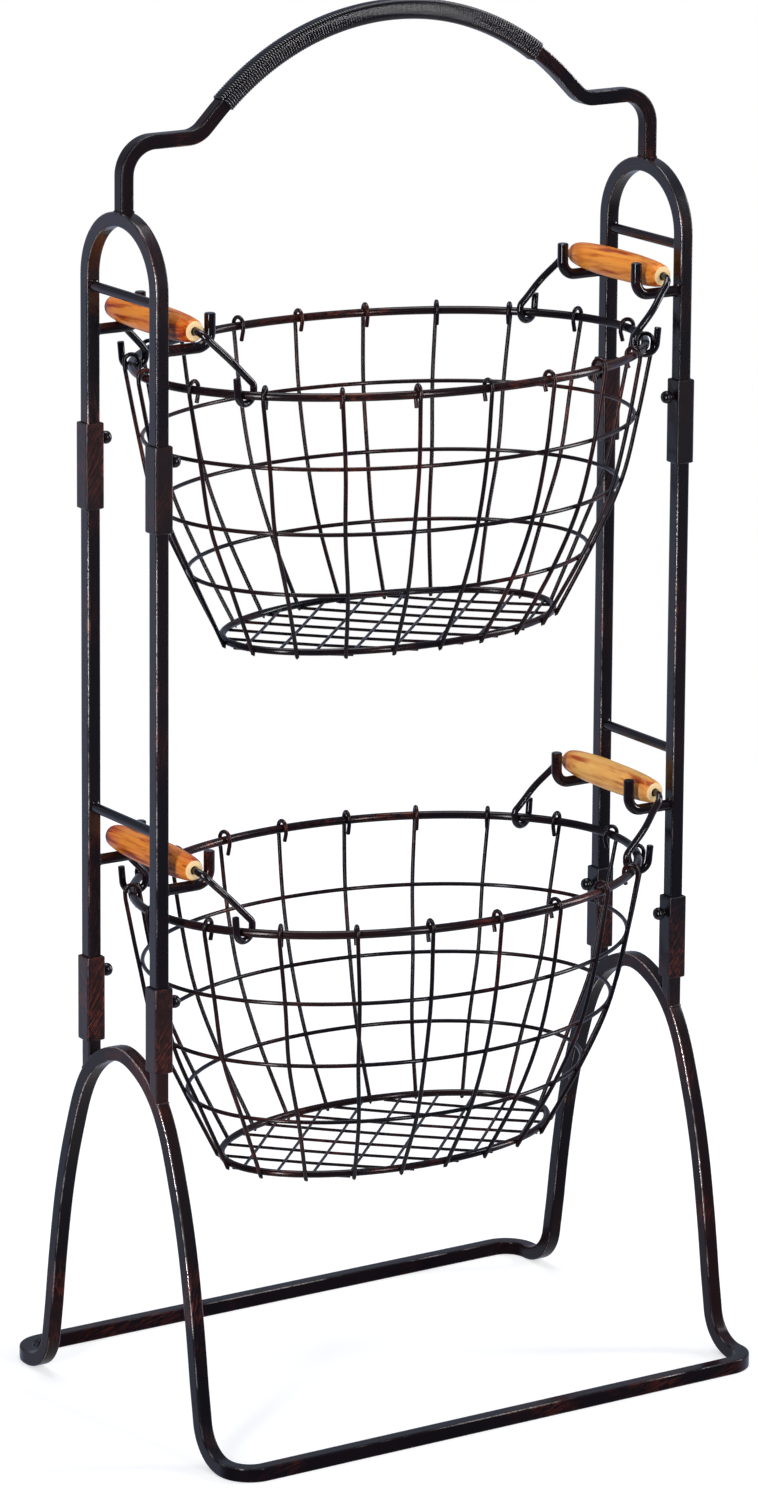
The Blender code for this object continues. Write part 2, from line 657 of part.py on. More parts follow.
def make_bail(tier, side, x_sign, rise, basket):
    rim_z = HOOK_Z - RIM_DROP + rise
    spot = on_ring("rim", BAIL_SPOT, rim_z=rim_z)
    name = f"{tier}_{side}"
    hinge = pivot("bail_" + name + "_hinge", (x_sign * spot.x, 0.0, rim_z), basket)
    path = list(reversed(bail_half(x_sign, -1, rise)[1:])) + bail_half(x_sign, 1, rise)[1:]
    add("bail_" + name, rods([path], BAIL), hinge, bronze(), math.radians(50))
    spin = pivot("grip_" + name + "_axis", (x_sign * GRIP_X, 0.0, grip_axis_z() + rise), hinge)
    half = GRIP_LENGTH / 2
    outline = [(share * half, radius * GRIP / 2) for share, radius in GRIP_SHARES]
    bore = (BAIL / 2 + GAP) / math.cos(math.pi / GRIP_SIDES)
    profile = [(-half, bore)] + [(-along, radius) for along, radius in reversed(outline[1:])]
    profile += outline + [(half, bore)]
    grip = turned(profile, GRIP_SIDES, home(spin), Vector((0, 1, 0)))
    add("grip_" + name, grip, spin, wood(), math.radians(40))


def main():
    clear_scene()
    root = pivot("stand_root", (0, 0, 0))
    mids = {}
    for side, sign in SIDES:
        mids[side] = pivot("mid_" + side + "_slide", (sign * POST_X, 0, LOWER_COLLAR_TOP), root)
    top = pivot("top_slide", (0, 0, UPPER_COLLAR_TOP), mids["left"])
    make_base(root)
    make_sockets(root)
    make_mid_section(mids)
    make_top_section(top)
    make_screws(root, mids)
    for tier, rise, shift in TIERS:
        rim_z = HOOK_Z - RIM_DROP + rise
        basket = pivot("basket_" + tier + "_lift", (0, 0, rim_z), top if rise else mids["left"])
        make_basket(tier, rim_z, shift, basket)
        for side, x_sign in SIDES:
            make_bail(tier, side, x_sign, rise, basket)


main()
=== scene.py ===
"""The visible pieces of a two-tier wire basket stand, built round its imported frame."""
import math

import bmesh
import bpy
from bpy.props import FloatProperty, FloatVectorProperty, IntProperty, PointerProperty
from bpy.types import Operator, Panel, PropertyGroup
from mathutils import Matrix, Vector


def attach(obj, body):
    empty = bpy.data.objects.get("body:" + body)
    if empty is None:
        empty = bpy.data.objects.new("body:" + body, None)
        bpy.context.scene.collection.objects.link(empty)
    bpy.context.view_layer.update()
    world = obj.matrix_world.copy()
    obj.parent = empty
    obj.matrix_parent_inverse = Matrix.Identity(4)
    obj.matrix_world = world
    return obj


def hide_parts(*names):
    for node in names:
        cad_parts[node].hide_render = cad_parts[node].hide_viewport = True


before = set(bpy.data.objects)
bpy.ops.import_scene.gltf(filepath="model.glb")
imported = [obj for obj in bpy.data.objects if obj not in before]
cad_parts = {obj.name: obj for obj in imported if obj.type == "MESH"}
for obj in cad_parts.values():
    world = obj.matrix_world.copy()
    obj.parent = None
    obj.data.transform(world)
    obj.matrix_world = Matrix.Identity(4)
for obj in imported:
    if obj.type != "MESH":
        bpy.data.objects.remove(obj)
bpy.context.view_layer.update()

bl_info = {
    "name": "Tiered basket stand",
    "version": (1, 0, 0),
    "blender": (4, 5, 0),
    "location": "3D View > Sidebar > Basket stand",
    "description": "Builds the tubes, wires, grips and finishes of a two-tier basket stand",
    "category": "Add Mesh",
}

SIDES = (("left", -1), ("right", 1))
ENDS = (("front", -1), ("back", 1))
TIERS = ("lower", "upper")
# The four posts: side, name, and the signs of their X and Y
POSTS = [(side, f"{side}_{end}", x_sign, y_sign) for side, x_sign in SIDES for end, y_sign in ENDS]
X = Vector((1.0, 0.0, 0.0))
Y = Vector((0.0, 1.0, 0.0))
UP = Vector((0.0, 0.0, 1.0))

STRETCH = 48            # steps of a sweep that are made apart
CORNER_FLATS = 3        # flats of a rounded tube corner
CORNER_HOLD = 0.0009    # from a rounded corner to the edge that holds the flat beside it
MERGED = 0.000001       # vertices nearer than this are one
SEAT = 0.0003           # gap between a piece and what carries it
BORE_PLAY = 0.0004      # gap round what goes through a bore
EASE = 0.0006           # eased edge of a collar or a hook
BLIND_DEPTH = 0.008     # how deep a collar that a post closes is hollow
STUB_START = 0.1        # height from which a lower collar's stub counts its run
STUB_SINK = 0.0015      # how far the stub reaches into the foot arch
WELD_SINK = 0.0004      # how far the handle's feet reach into the top arches
FOOT_LEAN = math.radians(9.5)   # of the leg where the foot sweep starts
ARCH_STEPS = 36         # of the top arch's half circle
ARC_STEPS = 40          # of the handle's large arc
RING_STEPS = 180        # of a basket's rim or hoop
TURN_BEND = 0.0034      # corner radius of a turn of the winding
TURN_GAP = 0.00015      # between the winding and the handle
NECK = (0.0019, 0.0026, 0.0003)     # length, radius and eased edge of a thumb screw's neck
SHORTEST = 0.040        # shortest wire of a basket's bottom

# Bands of wear, and of the near-white edge line that is partly a painted highlight, as depths below a
# face at which they start and are full
FACE_BAND = (0.0014, 0.0004)
COPPER_BAND = (0.0030, 0.0008)
WORN_GLINT_BAND = (0.0009, 0.0004)
CUT_BAND = (0.00075, 0.0004)
# Lumps of a weld bead: height, how fast they follow each other, and where they start
LUMPS = ((0.16, 2.4, 0.0), (0.10, 5.1, 1.0))
BEAD_END = 0.45         # girth of an open bead's ends
# Points of a bead along a face, as shares of the face's width from its middle and from its start
STUB_SHARES = (-0.5, -0.42, -0.3, -0.15, 0.0, 0.15, 0.3, 0.42, 0.5)
HANDLE_SHARES = (0.12, 0.31, 0.5, 0.69, 0.88)
# Points along a wire of a basket's bottom, as shares of its half length, and how far they sag
LATTICE_SAG = ((-1.0, 0.0), (-0.5, 0.0006), (0.0, 0.0009), (0.5, 0.0006), (1.0, 0.0))

# The foot arch from its top down to the foot sweep, as shares of the leg spread and its height
LEG_SHARES = (
    (0.00, 1.000), (0.25, 0.972), (0.44, 0.915), (0.575, 0.835), (0.69, 0.721),
    (0.77, 0.626), (0.84, 0.520), (0.90, 0.399), (0.94, 0.304), (0.975, 0.209),
)
# The basket's rings, as shares of its depth, half length and half width
LEVEL_SHARES = {
    "rim": (0.0, 1.0, 1.0),
    "top_hoop": (0.265, 0.958, 0.971),
    "mid_hoop": (0.515, 0.901, 0.884),
    "low_hoop": (0.759, 0.792, 0.746),
    "ring": (1.0, 0.672, 0.536),
}
# A grip's outline from its middle to its end, as shares of half its length and of its radius
GRIP_SHARES = ((0.0, 1.00), (0.32, 0.985), (0.60, 0.93), (0.82, 0.84), (0.94, 0.74), (0.985, 0.66))
# A thumb screw's head, as shares of its length and radius
HEAD_SHARES = ((0.0, 0.60), (0.08, 0.80), (0.22, 0.94), (0.42, 1.00), (0.62, 0.97), (0.80, 0.84),
               (0.93, 0.58), (1.0, 0.28))


def length(name, description, default):
    return FloatProperty(name=name, description=description, default=default,
                         unit="LENGTH", subtype="DISTANCE", precision=4)


def colour(name, description, default):
    return FloatVectorProperty(name=name, description=description, default=default,
                               size=3, min=0.0, max=1.0, subtype="COLOR")


class FrameSizes(PropertyGroup):
    tube: length("Tube side", "Outside of the square tube", 0.010)
    corner: length("Tube corner", "Outside radius of the tube's corners", 0.0010)
    post_x: length("Post X", "From the middle to a post's axis, along the stand", 0.215)
    post_y: length("Post Y", "From the middle to a post's axis, across the stand", 0.045)
    arch_top: length("Arch top", "Height of the foot arch's axis", 0.2635)
    leg_spread: length("Leg spread", "From the middle to the leg's axis above the sweep", 0.09995)
    foot_reach: length("Foot reach", "From the middle to the end of the foot frame", 0.131)
    foot_bend: length("Foot bend", "Radius of the foot sweep", 0.028)
    bar_out: length("Bar offset", "From the end of the foot frame to the floor bar's axis", 0.020)
    corner_bend: length("Corner bend", "Radius of the flat bend into the floor bar", 0.0195)
    collar: length("Collar side", "Outside of a square collar", 0.014)
    collar_length: length("Collar length", "Height of a collar", 0.060)
    lower_top: length("Lower collar top", "Height of the lower collars' top", 0.323)
    upper_top: length("Upper collar top", "Height of the upper collars' top", 0.700)
    socket: length("Socket depth", "How deep a post reaches into a collar", 0.030)
    spring: length("Arch spring", "Where the top arch's half circle starts", 0.802)
    weld: length("Weld bead", "Radius of a run of weld", 0.0011)


class HookSizes(PropertyGroup):
    rod: length("Rod", "Diameter of the rungs", 0.007)
    hook: length("Hook rod", "Diameter of the hooks", 0.0078)
    mid_rung: length("Mid rung", "Height of the mid rung", 0.430)
    top_rung: length("Top rung", "Height of the top rung", 0.795)
    height: length("Hook height", "Axis of the lower hooks' level run", 0.391)
    tip_x: length("Hook tip", "From the middle to the upturned tip", 0.1755)
    tip_rise: length("Tip rise", "Top of the tip above the level run", 0.023)
    bend: length("Hook bend", "Radius of the hook's bend", 0.010)
    pitch: length("Tier pitch", "From one tier to the next", 0.373)
    screw_drop: length("Screw drop", "Thumb screw below the collar's top", 0.012)
    screw: length("Screw", "Thread diameter", 0.004)
    head: length("Screw head", "Diameter of the thumb screw's head", 0.0092)
    head_length: length("Head length", "Length of the thumb screw's head", 0.0072)


class HandleSizes(PropertyGroup):
    shoulder: length("Shoulder", "Height of the handle's level shoulders", 0.898)
    shoulder_bend: length("Shoulder bend", "Radius above the top arch", 0.022)
    dip_bend: length("Dip bend", "Radius between the shoulder and the arc", 0.020)
    top: length("Handle top", "Axis of the handle at its highest point", 0.973)
    arc: length("Handle arc", "Radius of the large arc", 0.201)
    slope: FloatProperty(name="Slope", description="Of the arc's ends", default=math.radians(45),
                         subtype="ANGLE")
    wire: length("Winding wire", "Diameter of the winding's wire", 0.00196)
    turns: IntProperty(name="Turns", description="Turns of the winding", default=140, min=1)
    start: FloatProperty(name="Winding start", description="Place of the first turn on the arc",
                         default=math.radians(-43), subtype="ANGLE")
    end: FloatProperty(name="Winding end", description="Place of the last turn on the arc",
                       default=math.radians(36), subtype="ANGLE")


class BasketSizes(PropertyGroup):
    half_length: length("Half length", "Of the rim, along the stand", 0.192)
    half_width: length("Half width", "Of the rim, across the stand", 0.138)
    rim_drop: length("Rim drop", "Rim below the hooks' level run", 0.0304)
    depth: length("Depth", "From the rim to the bottom ring", 0.1905)
    rim: length("Rim wire", "Diameter of the rim", 0.006)
    ring: length("Ring wire", "Diameter of the bottom ring", 0.005)
    wire: length("Cage wire", "Diameter of the hoops and uprights", 0.003)
    wires: IntProperty(name="Uprights", description="Upright wires in a basket", default=20, min=3)
    tail: length("Tail", "End of an upright's tail below the rim", 0.0095)
    shift: length("Upper shift", "Of the upper basket's uprights along the rim", -0.012)
    lattice: length("Lattice wire", "Diameter of the bottom's wires", 0.0022)
    lattice_pitch: length("Lattice pitch", "Between the bottom's wires", 0.025)
    lattice_offset: length("Lattice offset", "Of the bottom's wires from the middle", 0.006)
    lattice_step: length("Lattice step", "Between the bottom's two layers", 0.0021)


class BailSizes(PropertyGroup):
    wire: length("Bail wire", "Diameter of the bail", 0.005)
    spot: FloatProperty(name="Hook place", description="Where the bail hooks on the rim",
                        default=math.radians(31.6), subtype="ANGLE")
    hook: length("Hook radius", "Radius of the bail's round hook", 0.008)
    turn: FloatProperty(name="Hook turn", description="Turn of the hook's plane",
                        default=math.radians(18), subtype="ANGLE")
    stub: length("Hook stub", "Straight end of the hook", 0.0105)
    splay: FloatProperty(name="Stub splay", description="Of the stub's end, as a share of the hook",
                         default=0.2)
    knee: length("Knee", "Straight stretch above the hook", 0.004)
    knee_bend: length("Knee bend", "Radius of the bend above the hook", 0.005)
    bend: length("Bail bend", "Radius of the bend beside the grip", 0.009)
    bow: length("Arm bow", "How far an arm bows outward", 0.0020)
    grip_length: length("Grip length", "Length of a grip", 0.107)
    grip: length("Grip diameter", "Largest diameter of a grip", 0.0212)
    grip_x: length("Grip X", "From the middle to a grip's axis", 0.192)


class Finishes(PropertyGroup):
    dark: colour("Dark bronze", "Main colour of the steel", (0.0055, 0.0048, 0.0078))
    brown: colour("Brown bronze", "Where the finish is rubbed thin", (0.026, 0.0095, 0.0090))
    copper: colour("Copper", "Brushed copper at edges and collars", (0.42, 0.085, 0.042))
    # Near-white bare metal along the tube edges: wear, and so bright that it is also a painted highlight
    # line
    worn: colour("Worn edge", "Bright metal on the worn edges", (0.92, 0.82, 0.80))
    honey: colour("Honey", "Light wood", (1.0, 0.36, 0.045))
    straw: colour("Straw", "Palest wood", (1.0, 0.58, 0.17))
    amber: colour("Amber", "Deep stain of the wood", (0.62, 0.095, 0.003))
    burnt: colour("Burnt", "Darkest streaks of the wood", (0.24, 0.019, 0.0008))
    end_grain: colour("End grain", "Cut ends of the grips", (1.0, 0.76, 0.42))
    end_ring: colour("End ring", "Year rings on the cut ends", (0.86, 0.46, 0.17))
    floor: colour("Floor", "The studio floor", (0.62, 0.62, 0.62))


class Signal:
    """An output socket of a shader; arithmetic on it adds Math nodes."""

    def __init__(self, shader, socket):
        self.shader = shader
        self.socket = socket

    def maths(self, operation, *values):
        return self.shader.node("ShaderNodeMath", {"operation": operation}, dict(enumerate(values)))

    def vectors(self, operation, *values, out="Value"):
        return self.shader.node("ShaderNodeVectorMath", {"operation": operation},
                                dict(enumerate(values)), out)

    def __add__(self, other):
        return self.maths("ADD", self, other)

    def __sub__(self, other):
        return self.maths("SUBTRACT", self, other)

    def __rsub__(self, other):
        return self.maths("SUBTRACT", other, self)

    def __mul__(self, other):
        return self.maths("MULTIPLY", self, other)

    def __abs__(self):
        return self.maths("ABSOLUTE", self)

    def least(self, other):
        return self.maths("MINIMUM", self, other)

    def most(self, other):
        return self.maths("MAXIMUM", self, other)

    def wave(self, pitch):
        """A wave between 0 and 1."""
        return self.maths("SINE", self * (2 * math.pi / pitch)) * 0.5 + 0.5

    def between(self, low, high):
        """0 below low, 1 above high, smooth in between."""
        return self.shader.node("ShaderNodeMapRange", {"interpolation_type": "SMOOTHSTEP"},
                                {"Value": self, "From Min": low, "From Max": high})

    def near(self, face, band):
        """1 close to a face, 0 deeper than the band."""
        start, full = band
        return self.between(face - start, face - full)

    def dot(self, direction):
        return self.vectors("DOT_PRODUCT", self, direction)

    def reach(self):
        return self.vectors("LENGTH", self)

    def seen_from(self, centre):
        return self.vectors("SUBTRACT", self, centre, out="Vector")

    __radd__ = __add__
    __rmul__ = __mul__


class Shader:
    """A node tree in the making."""

    def __init__(self, tree):
        self.tree = tree

    def node(self, kind, settings, sockets, out=0):
        """Adds a node; sockets holds values or signals, by name or place, and out names the output."""
        made = self.tree.nodes.new(kind)
        for key, value in settings.items():
            setattr(made, key, value)
        for key, value in sockets.items():
            self.feed(made.inputs[key], value)
        return Signal(self, made.outputs[out])

    def feed(self, socket, value):
        if isinstance(value, Signal):
            self.tree.links.new(value.socket, socket)
        elif socket.type == "RGBA" and len(value) == 3:
            socket.default_value = (*value, 1.0)
        else:
            socket.default_value = value

    def mix(self, factor, first, second):
        """One colour into another; the colours are the Mix node's inputs 6 and 7, and its output 2."""
        return self.node("ShaderNodeMix", {"data_type": "RGBA"}, {0: factor, 6: first, 7: second}, 2)


class Paint(Shader):
    """A material in the making."""

    def __init__(self, name):
        self.material = bpy.data.materials.new(name)
        self.material.use_nodes = True
        super().__init__(self.material.node_tree)

    def place(self):
        return self.node("ShaderNodeTexCoord", {}, {}, "Object")

    def lay(self):
        """Place in the straightened piece: across, along its normal, and run along it."""
        return self.node("ShaderNodeAttribute", {"attribute_name": "lay"}, {}, "Vector")

    def mapped(self, vector, location=(0, 0, 0), scale=(1, 1, 1), rotation=(0, 0, 0)):
        sockets = {"Vector": vector, "Location": location, "Rotation": rotation, "Scale": scale}
        return self.node("ShaderNodeMapping", {}, sockets)

    def joined(self, x, y, z):
        return self.node("ShaderNodeCombineXYZ", {}, {0: x, 1: y, 2: z})

    def noise(self, vector, scale=1.0, detail=2.0, roughness=0.5):
        sockets = {"Vector": vector, "Scale": scale, "Detail": detail, "Roughness": roughness}
        return self.node("ShaderNodeTexNoise", {}, sockets)

    def bump(self, height, distance):
        return self.node("ShaderNodeBump", {}, {"Distance": distance, "Height": height})

    def finish(self, **sockets):
        inputs = self.tree.nodes["Principled BSDF"].inputs
        for name, value in sockets.items():
            self.feed(inputs[name.replace("_", " ").title().replace("Ior", "IOR")], value)
        return self.material


ELSEWHERE = (0.9, 0.2, 0.5)     # moves the rubbed patches of the base
# What sets each bronze apart, as rubbed_bronze takes it
BRONZES = {
    "Bronze tube": {"side": "tube", "slant": 0.12, "copper": 0.10, "brown": 0.20, "edge": 0.48,
                    "roughness": 0.26},
    "Bronze base tube": {"side": "tube", "slant": 0.30, "copper": 0.36, "brown": 0.55, "edge": 0.80,
                         "roughness": 0.24, "shine": 0.42, "shift": ELSEWHERE},
    "Bronze floor bar": {"side": "tube", "slant": 0.30, "copper": 0.22, "brown": 0.30, "edge": 0.50,
                         "roughness": 0.20, "shine": 0.42, "shift": ELSEWHERE},
    "Bronze handle tube": {"side": "tube", "slant": 0.12, "copper": 0.22, "brown": 0.30, "edge": 1.0,
                           "roughness": 0.24, "shine": 0.50},
    "Brushed lower collar": {"side": "collar", "slant": 0.55, "copper": 0.85, "brown": 0.8,
                             "edge": 0.8, "fade": 0.050, "grain": 2.0, "roughness": 0.34},
    "Brushed upper collar": {"side": "collar", "slant": 0.55, "copper": 0.22, "brown": 0.35,
                             "edge": 0.6, "grain": 2.0, "roughness": 0.32},
    "Bronze rod": {"slant": 0.5, "copper": 0.16, "brown": 0.35, "grain": 0.3, "roughness": 0.09,
                   "shine": 0.75},
    "Bronze wire": {"copper": 0.36, "brown": 0.80, "grain": 0.5, "roughness": 0.19, "shine": 0.42},
    "Bronze bail": {"slant": 0.3, "copper": 0.24, "brown": 0.5, "grain": 0.3, "roughness": 0.09},
    "Bronze screw": {"copper": 0.06, "brown": 0.3, "grain": 0.3, "roughness": 0.18},
    "Wound wire": {"copper": 0.04, "brown": 0.04, "grain": 0.1, "roughness": 0.13, "shine": 1.3},
}


def bronze(name):
    """The bronze of that name, made the first time it is asked for."""
    return bpy.data.materials.get(name) or rubbed_bronze(name, **BRONZES[name])


def rubbed_bronze(name, copper, brown, roughness, side=None, slant=0.0, edge=0.0, fade=0.0,
                  grain=1.0, shine=1.0, shift=(0, 0, 0)):
    """Dark bronze on a swept piece, with brush strokes that slant across its run.

    copper, brown and edge say how much of each shows, grain how rough the relief is and shift where
    the rubbed patches are. side names the frame size that is the side of a square section, whose edges
    get the most copper and a near-white line of bare metal that is partly a painted highlight. With
    fade, more strokes lie on the front and back faces, and thin out that far along the run.
    """
    tint = bpy.context.scene.stand_finish
    half = getattr(bpy.context.scene.stand_frame, side) / 2 if side else 0.0
    paint = Paint(name)
    place = paint.place()
    lay = paint.lay()
    run = lay.dot(UP)
    sine, cosine = math.sin(slant), math.cos(slant)
    across = lay.dot((cosine, cosine, -sine))
    down = lay.dot((sine, sine, cosine))
    stroke = paint.joined(across * 1300, down * 150, lay.dot((300, -300, 0)))
    coarse = paint.joined(across * 560, down * 70, lay.dot((130, -130, 0)))
    strokes = paint.noise(stroke, 1.0, 3.0, 0.55).between(0.50, 0.64)
    bands = paint.noise(coarse).between(0.46, 0.62)
    patches = paint.noise(paint.mapped(place, location=shift), 13.0, 3.0, 0.6).between(0.48, 0.70)
    broad = paint.noise(place, 5.0).between(0.35, 0.70)
    specks = paint.noise(place, 900.0, 2.0, 0.6)
    rubbed = patches * (strokes * 0.55 + bands * 0.45) * copper
    if fade:
        brushed = abs(lay.dot(Y)).near(half, FACE_BAND) * 0.85 + 0.15
        low = 1.0 - run.between(0.0, fade)
        brushed = brushed * (low * 0.75 + paint.noise(place, 42.0).between(0.44, 0.64) * 0.45)
        rubbed = (rubbed * 0.4).most(strokes * (bands * 0.5 + 0.5) * brushed)
    metal = rubbed * 0.7
    if half:
        beside = abs(lay.dot(X)).least(abs(lay.dot(Y)))
        streaks = paint.noise(paint.joined(lay.dot((70, -70, 0)), 0.0, run * 9), 1.0, 4.0, 0.65)
        shown = streaks.between(0.47, 0.60)
        rubbed = rubbed.most(beside.near(half, COPPER_BAND) * shown * bands * patches * edge)
    base = paint.mix(broad * brown, tuple(tint.dark), tuple(tint.brown))
    shade = paint.mix(rubbed, base, tuple(tint.copper))
    if half:
        # A near-white line of bare metal along the edges, in streaks and specks: wear, and partly a
        # painted highlight
        worn = beside.near(half, WORN_GLINT_BAND) * shown * specks.between(0.34, 0.56) * edge
        shade = paint.mix(worn, shade, tuple(tint.worn))
        metal = metal + worn
    fine = paint.noise(paint.joined(across * 900, down * 120, 0.0))
    gloss = fine * 0.08 + specks * 0.06 + rubbed * 0.14 + (roughness - 0.07)
    relief = paint.bump((specks * 0.25 + fine * 0.2) * grain - rubbed * 0.4, 0.00012)
    return paint.finish(base_color=shade, metallic=metal.least(0.85) + 0.1,
                        roughness=gloss, coat_weight=0.30 * shine, coat_roughness=0.08,
                        specular_ior_level=0.45 * shine, normal=relief)


RING_PITCH = 0.0047     # of the wood's year rings along a grip
END_PITCH = 0.0016      # and on its cut ends
# Each grip's turn about its axis, how dark its streaks are, and how pale the wood between them
GRIP_LOOKS = {
    "lower_left": (0.4, 0.34, 0.15),
    "lower_right": (1.9, -0.04, 0.80),
    "upper_left": (2.9, 0.36, 0.15),
    "upper_right": (4.4, 0.08, 0.05),
}


def stained_wood(name, centre, turn, tone, pale):
    """Honey-stained wood with its grain along Y and pale cut ends; tone adds dark streaks."""
    tint = bpy.context.scene.stand_finish
    end = bpy.context.scene.stand_bail.grip_length / 2
    paint = Paint(name)
    place = paint.place().seen_from(centre)
    grain = paint.mapped(place, rotation=(0.05, turn, 0.03))
    sway = paint.noise(paint.mapped(grain, scale=(60, 14, 60)), 1.0, 3.0) - 0.5
    pith = paint.joined(grain.dot(X) + 0.017, 0.0, grain.dot(UP) + 0.009).reach()
    late = (pith + sway * 0.011).wave(RING_PITCH).between(0.45, 1.0)
    fibre = paint.noise(paint.mapped(grain, scale=(1100, 24, 1100)), 1.0, 3.0, 0.6)
    flame = paint.noise(paint.mapped(grain, scale=(230, 17, 230)), 1.0, 4.0, 0.62)
    blotch = paint.noise(paint.mapped(grain, scale=(45, 22, 45)), 1.0, 1.0).between(0.40, 0.62)
    along = abs(place.dot(Y))
    ends = along.between(0.024, 0.055)
    deep = late * 0.22 + flame.between(0.42, 0.66) * (blotch * 0.55 + 0.22)
    deep = deep + ends * (blotch * 0.4 + 0.16)
    deep = (deep + fibre * 0.16 + (tone - 0.12)).least(1.0).most(0.0)
    light = paint.mix(pale, tuple(tint.honey), tuple(tint.straw))
    stain = paint.mix(deep, light, tuple(tint.amber))
    burnt = flame.between(0.48, 0.64) * (blotch * 0.5 + ends * 0.3 + tone * 1.6)
    stain = paint.mix((burnt + fibre.between(0.56, 0.78) * 0.4).least(0.95), stain, tuple(tint.burnt))
    cut = along.near(end, CUT_BAND)
    end_rings = (pith + sway * 0.002).wave(END_PITCH)
    end_face = paint.mix(end_rings * 0.45, tuple(tint.end_grain), tuple(tint.end_ring))
    shade = paint.mix(cut, stain, end_face)
    relief = paint.bump(fibre * 0.6 + late * 0.4, 0.00008)
    return paint.finish(base_color=shade, roughness=fibre * 0.14 + cut * 0.25 + 0.34,
                        coat_weight=0.16 - cut * 0.15, coat_roughness=0.24,
                        specular_ior_level=0.22, normal=relief)


def bent(corners, radii, step):
    """The path through some corner points, with bends of these radii at all but its ends.

    A bend is made in flats of about step degrees.
    """
    corners = [Vector(point) for point in corners]
    path = [corners[0]]
    for before, corner, after, radius in zip(corners, corners[1:], corners[2:], radii):
        back = (before - corner).normalized()
        ahead = (after - corner).normalized()
        turn = math.pi - back.angle(ahead)
        cut = radius * math.tan(turn / 2)
        centre = corner + (back + ahead).normalized() * (radius / math.cos(turn / 2))
        start = corner + back * cut - centre
        axis = start.cross(corner + ahead * cut - centre).normalized()
        flats = max(1, round(turn / math.radians(step)))
        for flat in range(flats + 1):
            path.append(centre + Matrix.Rotation(turn * flat / flats, 3, axis) @ start)
    path.append(corners[-1])
    return path


def eased(points, parts):
    """A smooth path through some points, in that many parts from each to the next."""
    points = [Vector(point) for point in points]
    ends = [points[0] * 2 - points[1]] + points + [points[-1] * 2 - points[-2]]
    path = [points[0]]
    for a, b, c, d in zip(ends, ends[1:], ends[2:], ends[3:]):
        for part in range(1, parts + 1):
            t = part / parts
            path.append((b * 2 + (c - a) * t + (a * 2 - b * 5 + c * 4 - d) * t ** 2
                         + (b * 3 - a - c * 3 + d) * t ** 3) / 2)
    return path


def stations(path, normal=None, closed=False):
    """For each point of a path, a matrix with X across it, Y along the normal and Z ahead."""
    count = len(path)
    made = []
    carried = normal
    last = None
    for k, point in enumerate(path):
        before = path[k - 1] if k or closed else point
        after = path[(k + 1) % count] if k + 1 < count or closed else point
        ahead = ((point - before).normalized() + (after - point).normalized()).normalized()
        if carried is None:
            carried = ahead.orthogonal().normalized()
        elif normal is None:
            carried = last.rotation_difference(ahead) @ carried
        across = carried.cross(ahead).normalized()
        spin = Matrix((across, ahead.cross(across), ahead)).transposed().to_4x4()
        made.append(Matrix.Translation(point) @ spin)
        last = ahead
    return made


def blank():
    """An empty bmesh whose vertices can hold their place in the straightened piece."""
    bm = bmesh.new()
    bm.verts.layers.float_vector.new("lay")
    return bm


def runs_along(places):
    """Length of the path up to each of its places."""
    runs = [0.0]
    for before, after in zip(places, places[1:]):
        runs.append(runs[-1] + (after.translation - before.translation).length)
    return runs


def extrude_on(bm, ring, edges, matrix, girth, run):
    """Extrudes a ring to its next place. ring gives each vertex its place in the section."""
    lay = bm.verts.layers.float_vector["lay"]
    fresh = bmesh.ops.extrude_edge_only(bm, edges=edges)["geom"]
    grown = {}
    for vert in (item for item in fresh if isinstance(item, bmesh.types.BMVert)):
        old = next(e.other_vert(vert) for e in vert.link_edges if e.other_vert(vert) in ring)
        grown[vert] = ring[old]
        vert.co = matrix @ (ring[old] * girth)
        vert[lay] = (ring[old].x, ring[old].y, run)
    edges = [item for item in fresh if isinstance(item, bmesh.types.BMEdge)
             and all(vert in grown for vert in item.verts)]
    return grown, edges


def sweep(bm, section, places, girths=None, closed=False, even=False):
    """Carries a section from place to place, in stretches that are joined at the end.

    section(bm) makes it as one face round the origin. A closed sweep ends where it starts; an even
    one counts its run up to halfway and back, so that a pattern on it has no seam.
    """
    if closed:
        places = places + [places[0]]
        girths = girths and girths + [girths[0]]
    girths = girths or [1.0] * len(places)
    runs = runs_along(places)
    if even:
        runs = [abs(runs[-1] - 2 * run) for run in runs]
    last = len(places) - 1
    for first in range(0, last, STRETCH):
        part = blank()
        lay = part.verts.layers.float_vector["lay"]
        section(part)
        ring = {vert: vert.co.copy() for vert in part.verts}
        edges = list(part.edges)
        if first or closed:
            bmesh.ops.delete(part, geom=list(part.faces), context="FACES_ONLY")
        for vert, place in ring.items():
            vert.co = places[first] @ (place * girths[first])
            vert[lay] = (place.x, place.y, runs[first])
        for k in range(first + 1, min(first + STRETCH, last) + 1):
            ring, edges = extrude_on(part, ring, edges, places[k], girths[k], runs[k])
        if first + STRETCH >= last and not closed:
            bmesh.ops.holes_fill(part, edges=edges)
        mesh = bpy.data.meshes.new("stretch")
        part.to_mesh(mesh)
        part.free()
        bm.from_mesh(mesh)
        bpy.data.meshes.remove(mesh)
    if closed or last > STRETCH:
        bmesh.ops.remove_doubles(bm, verts=bm.verts, dist=MERGED)


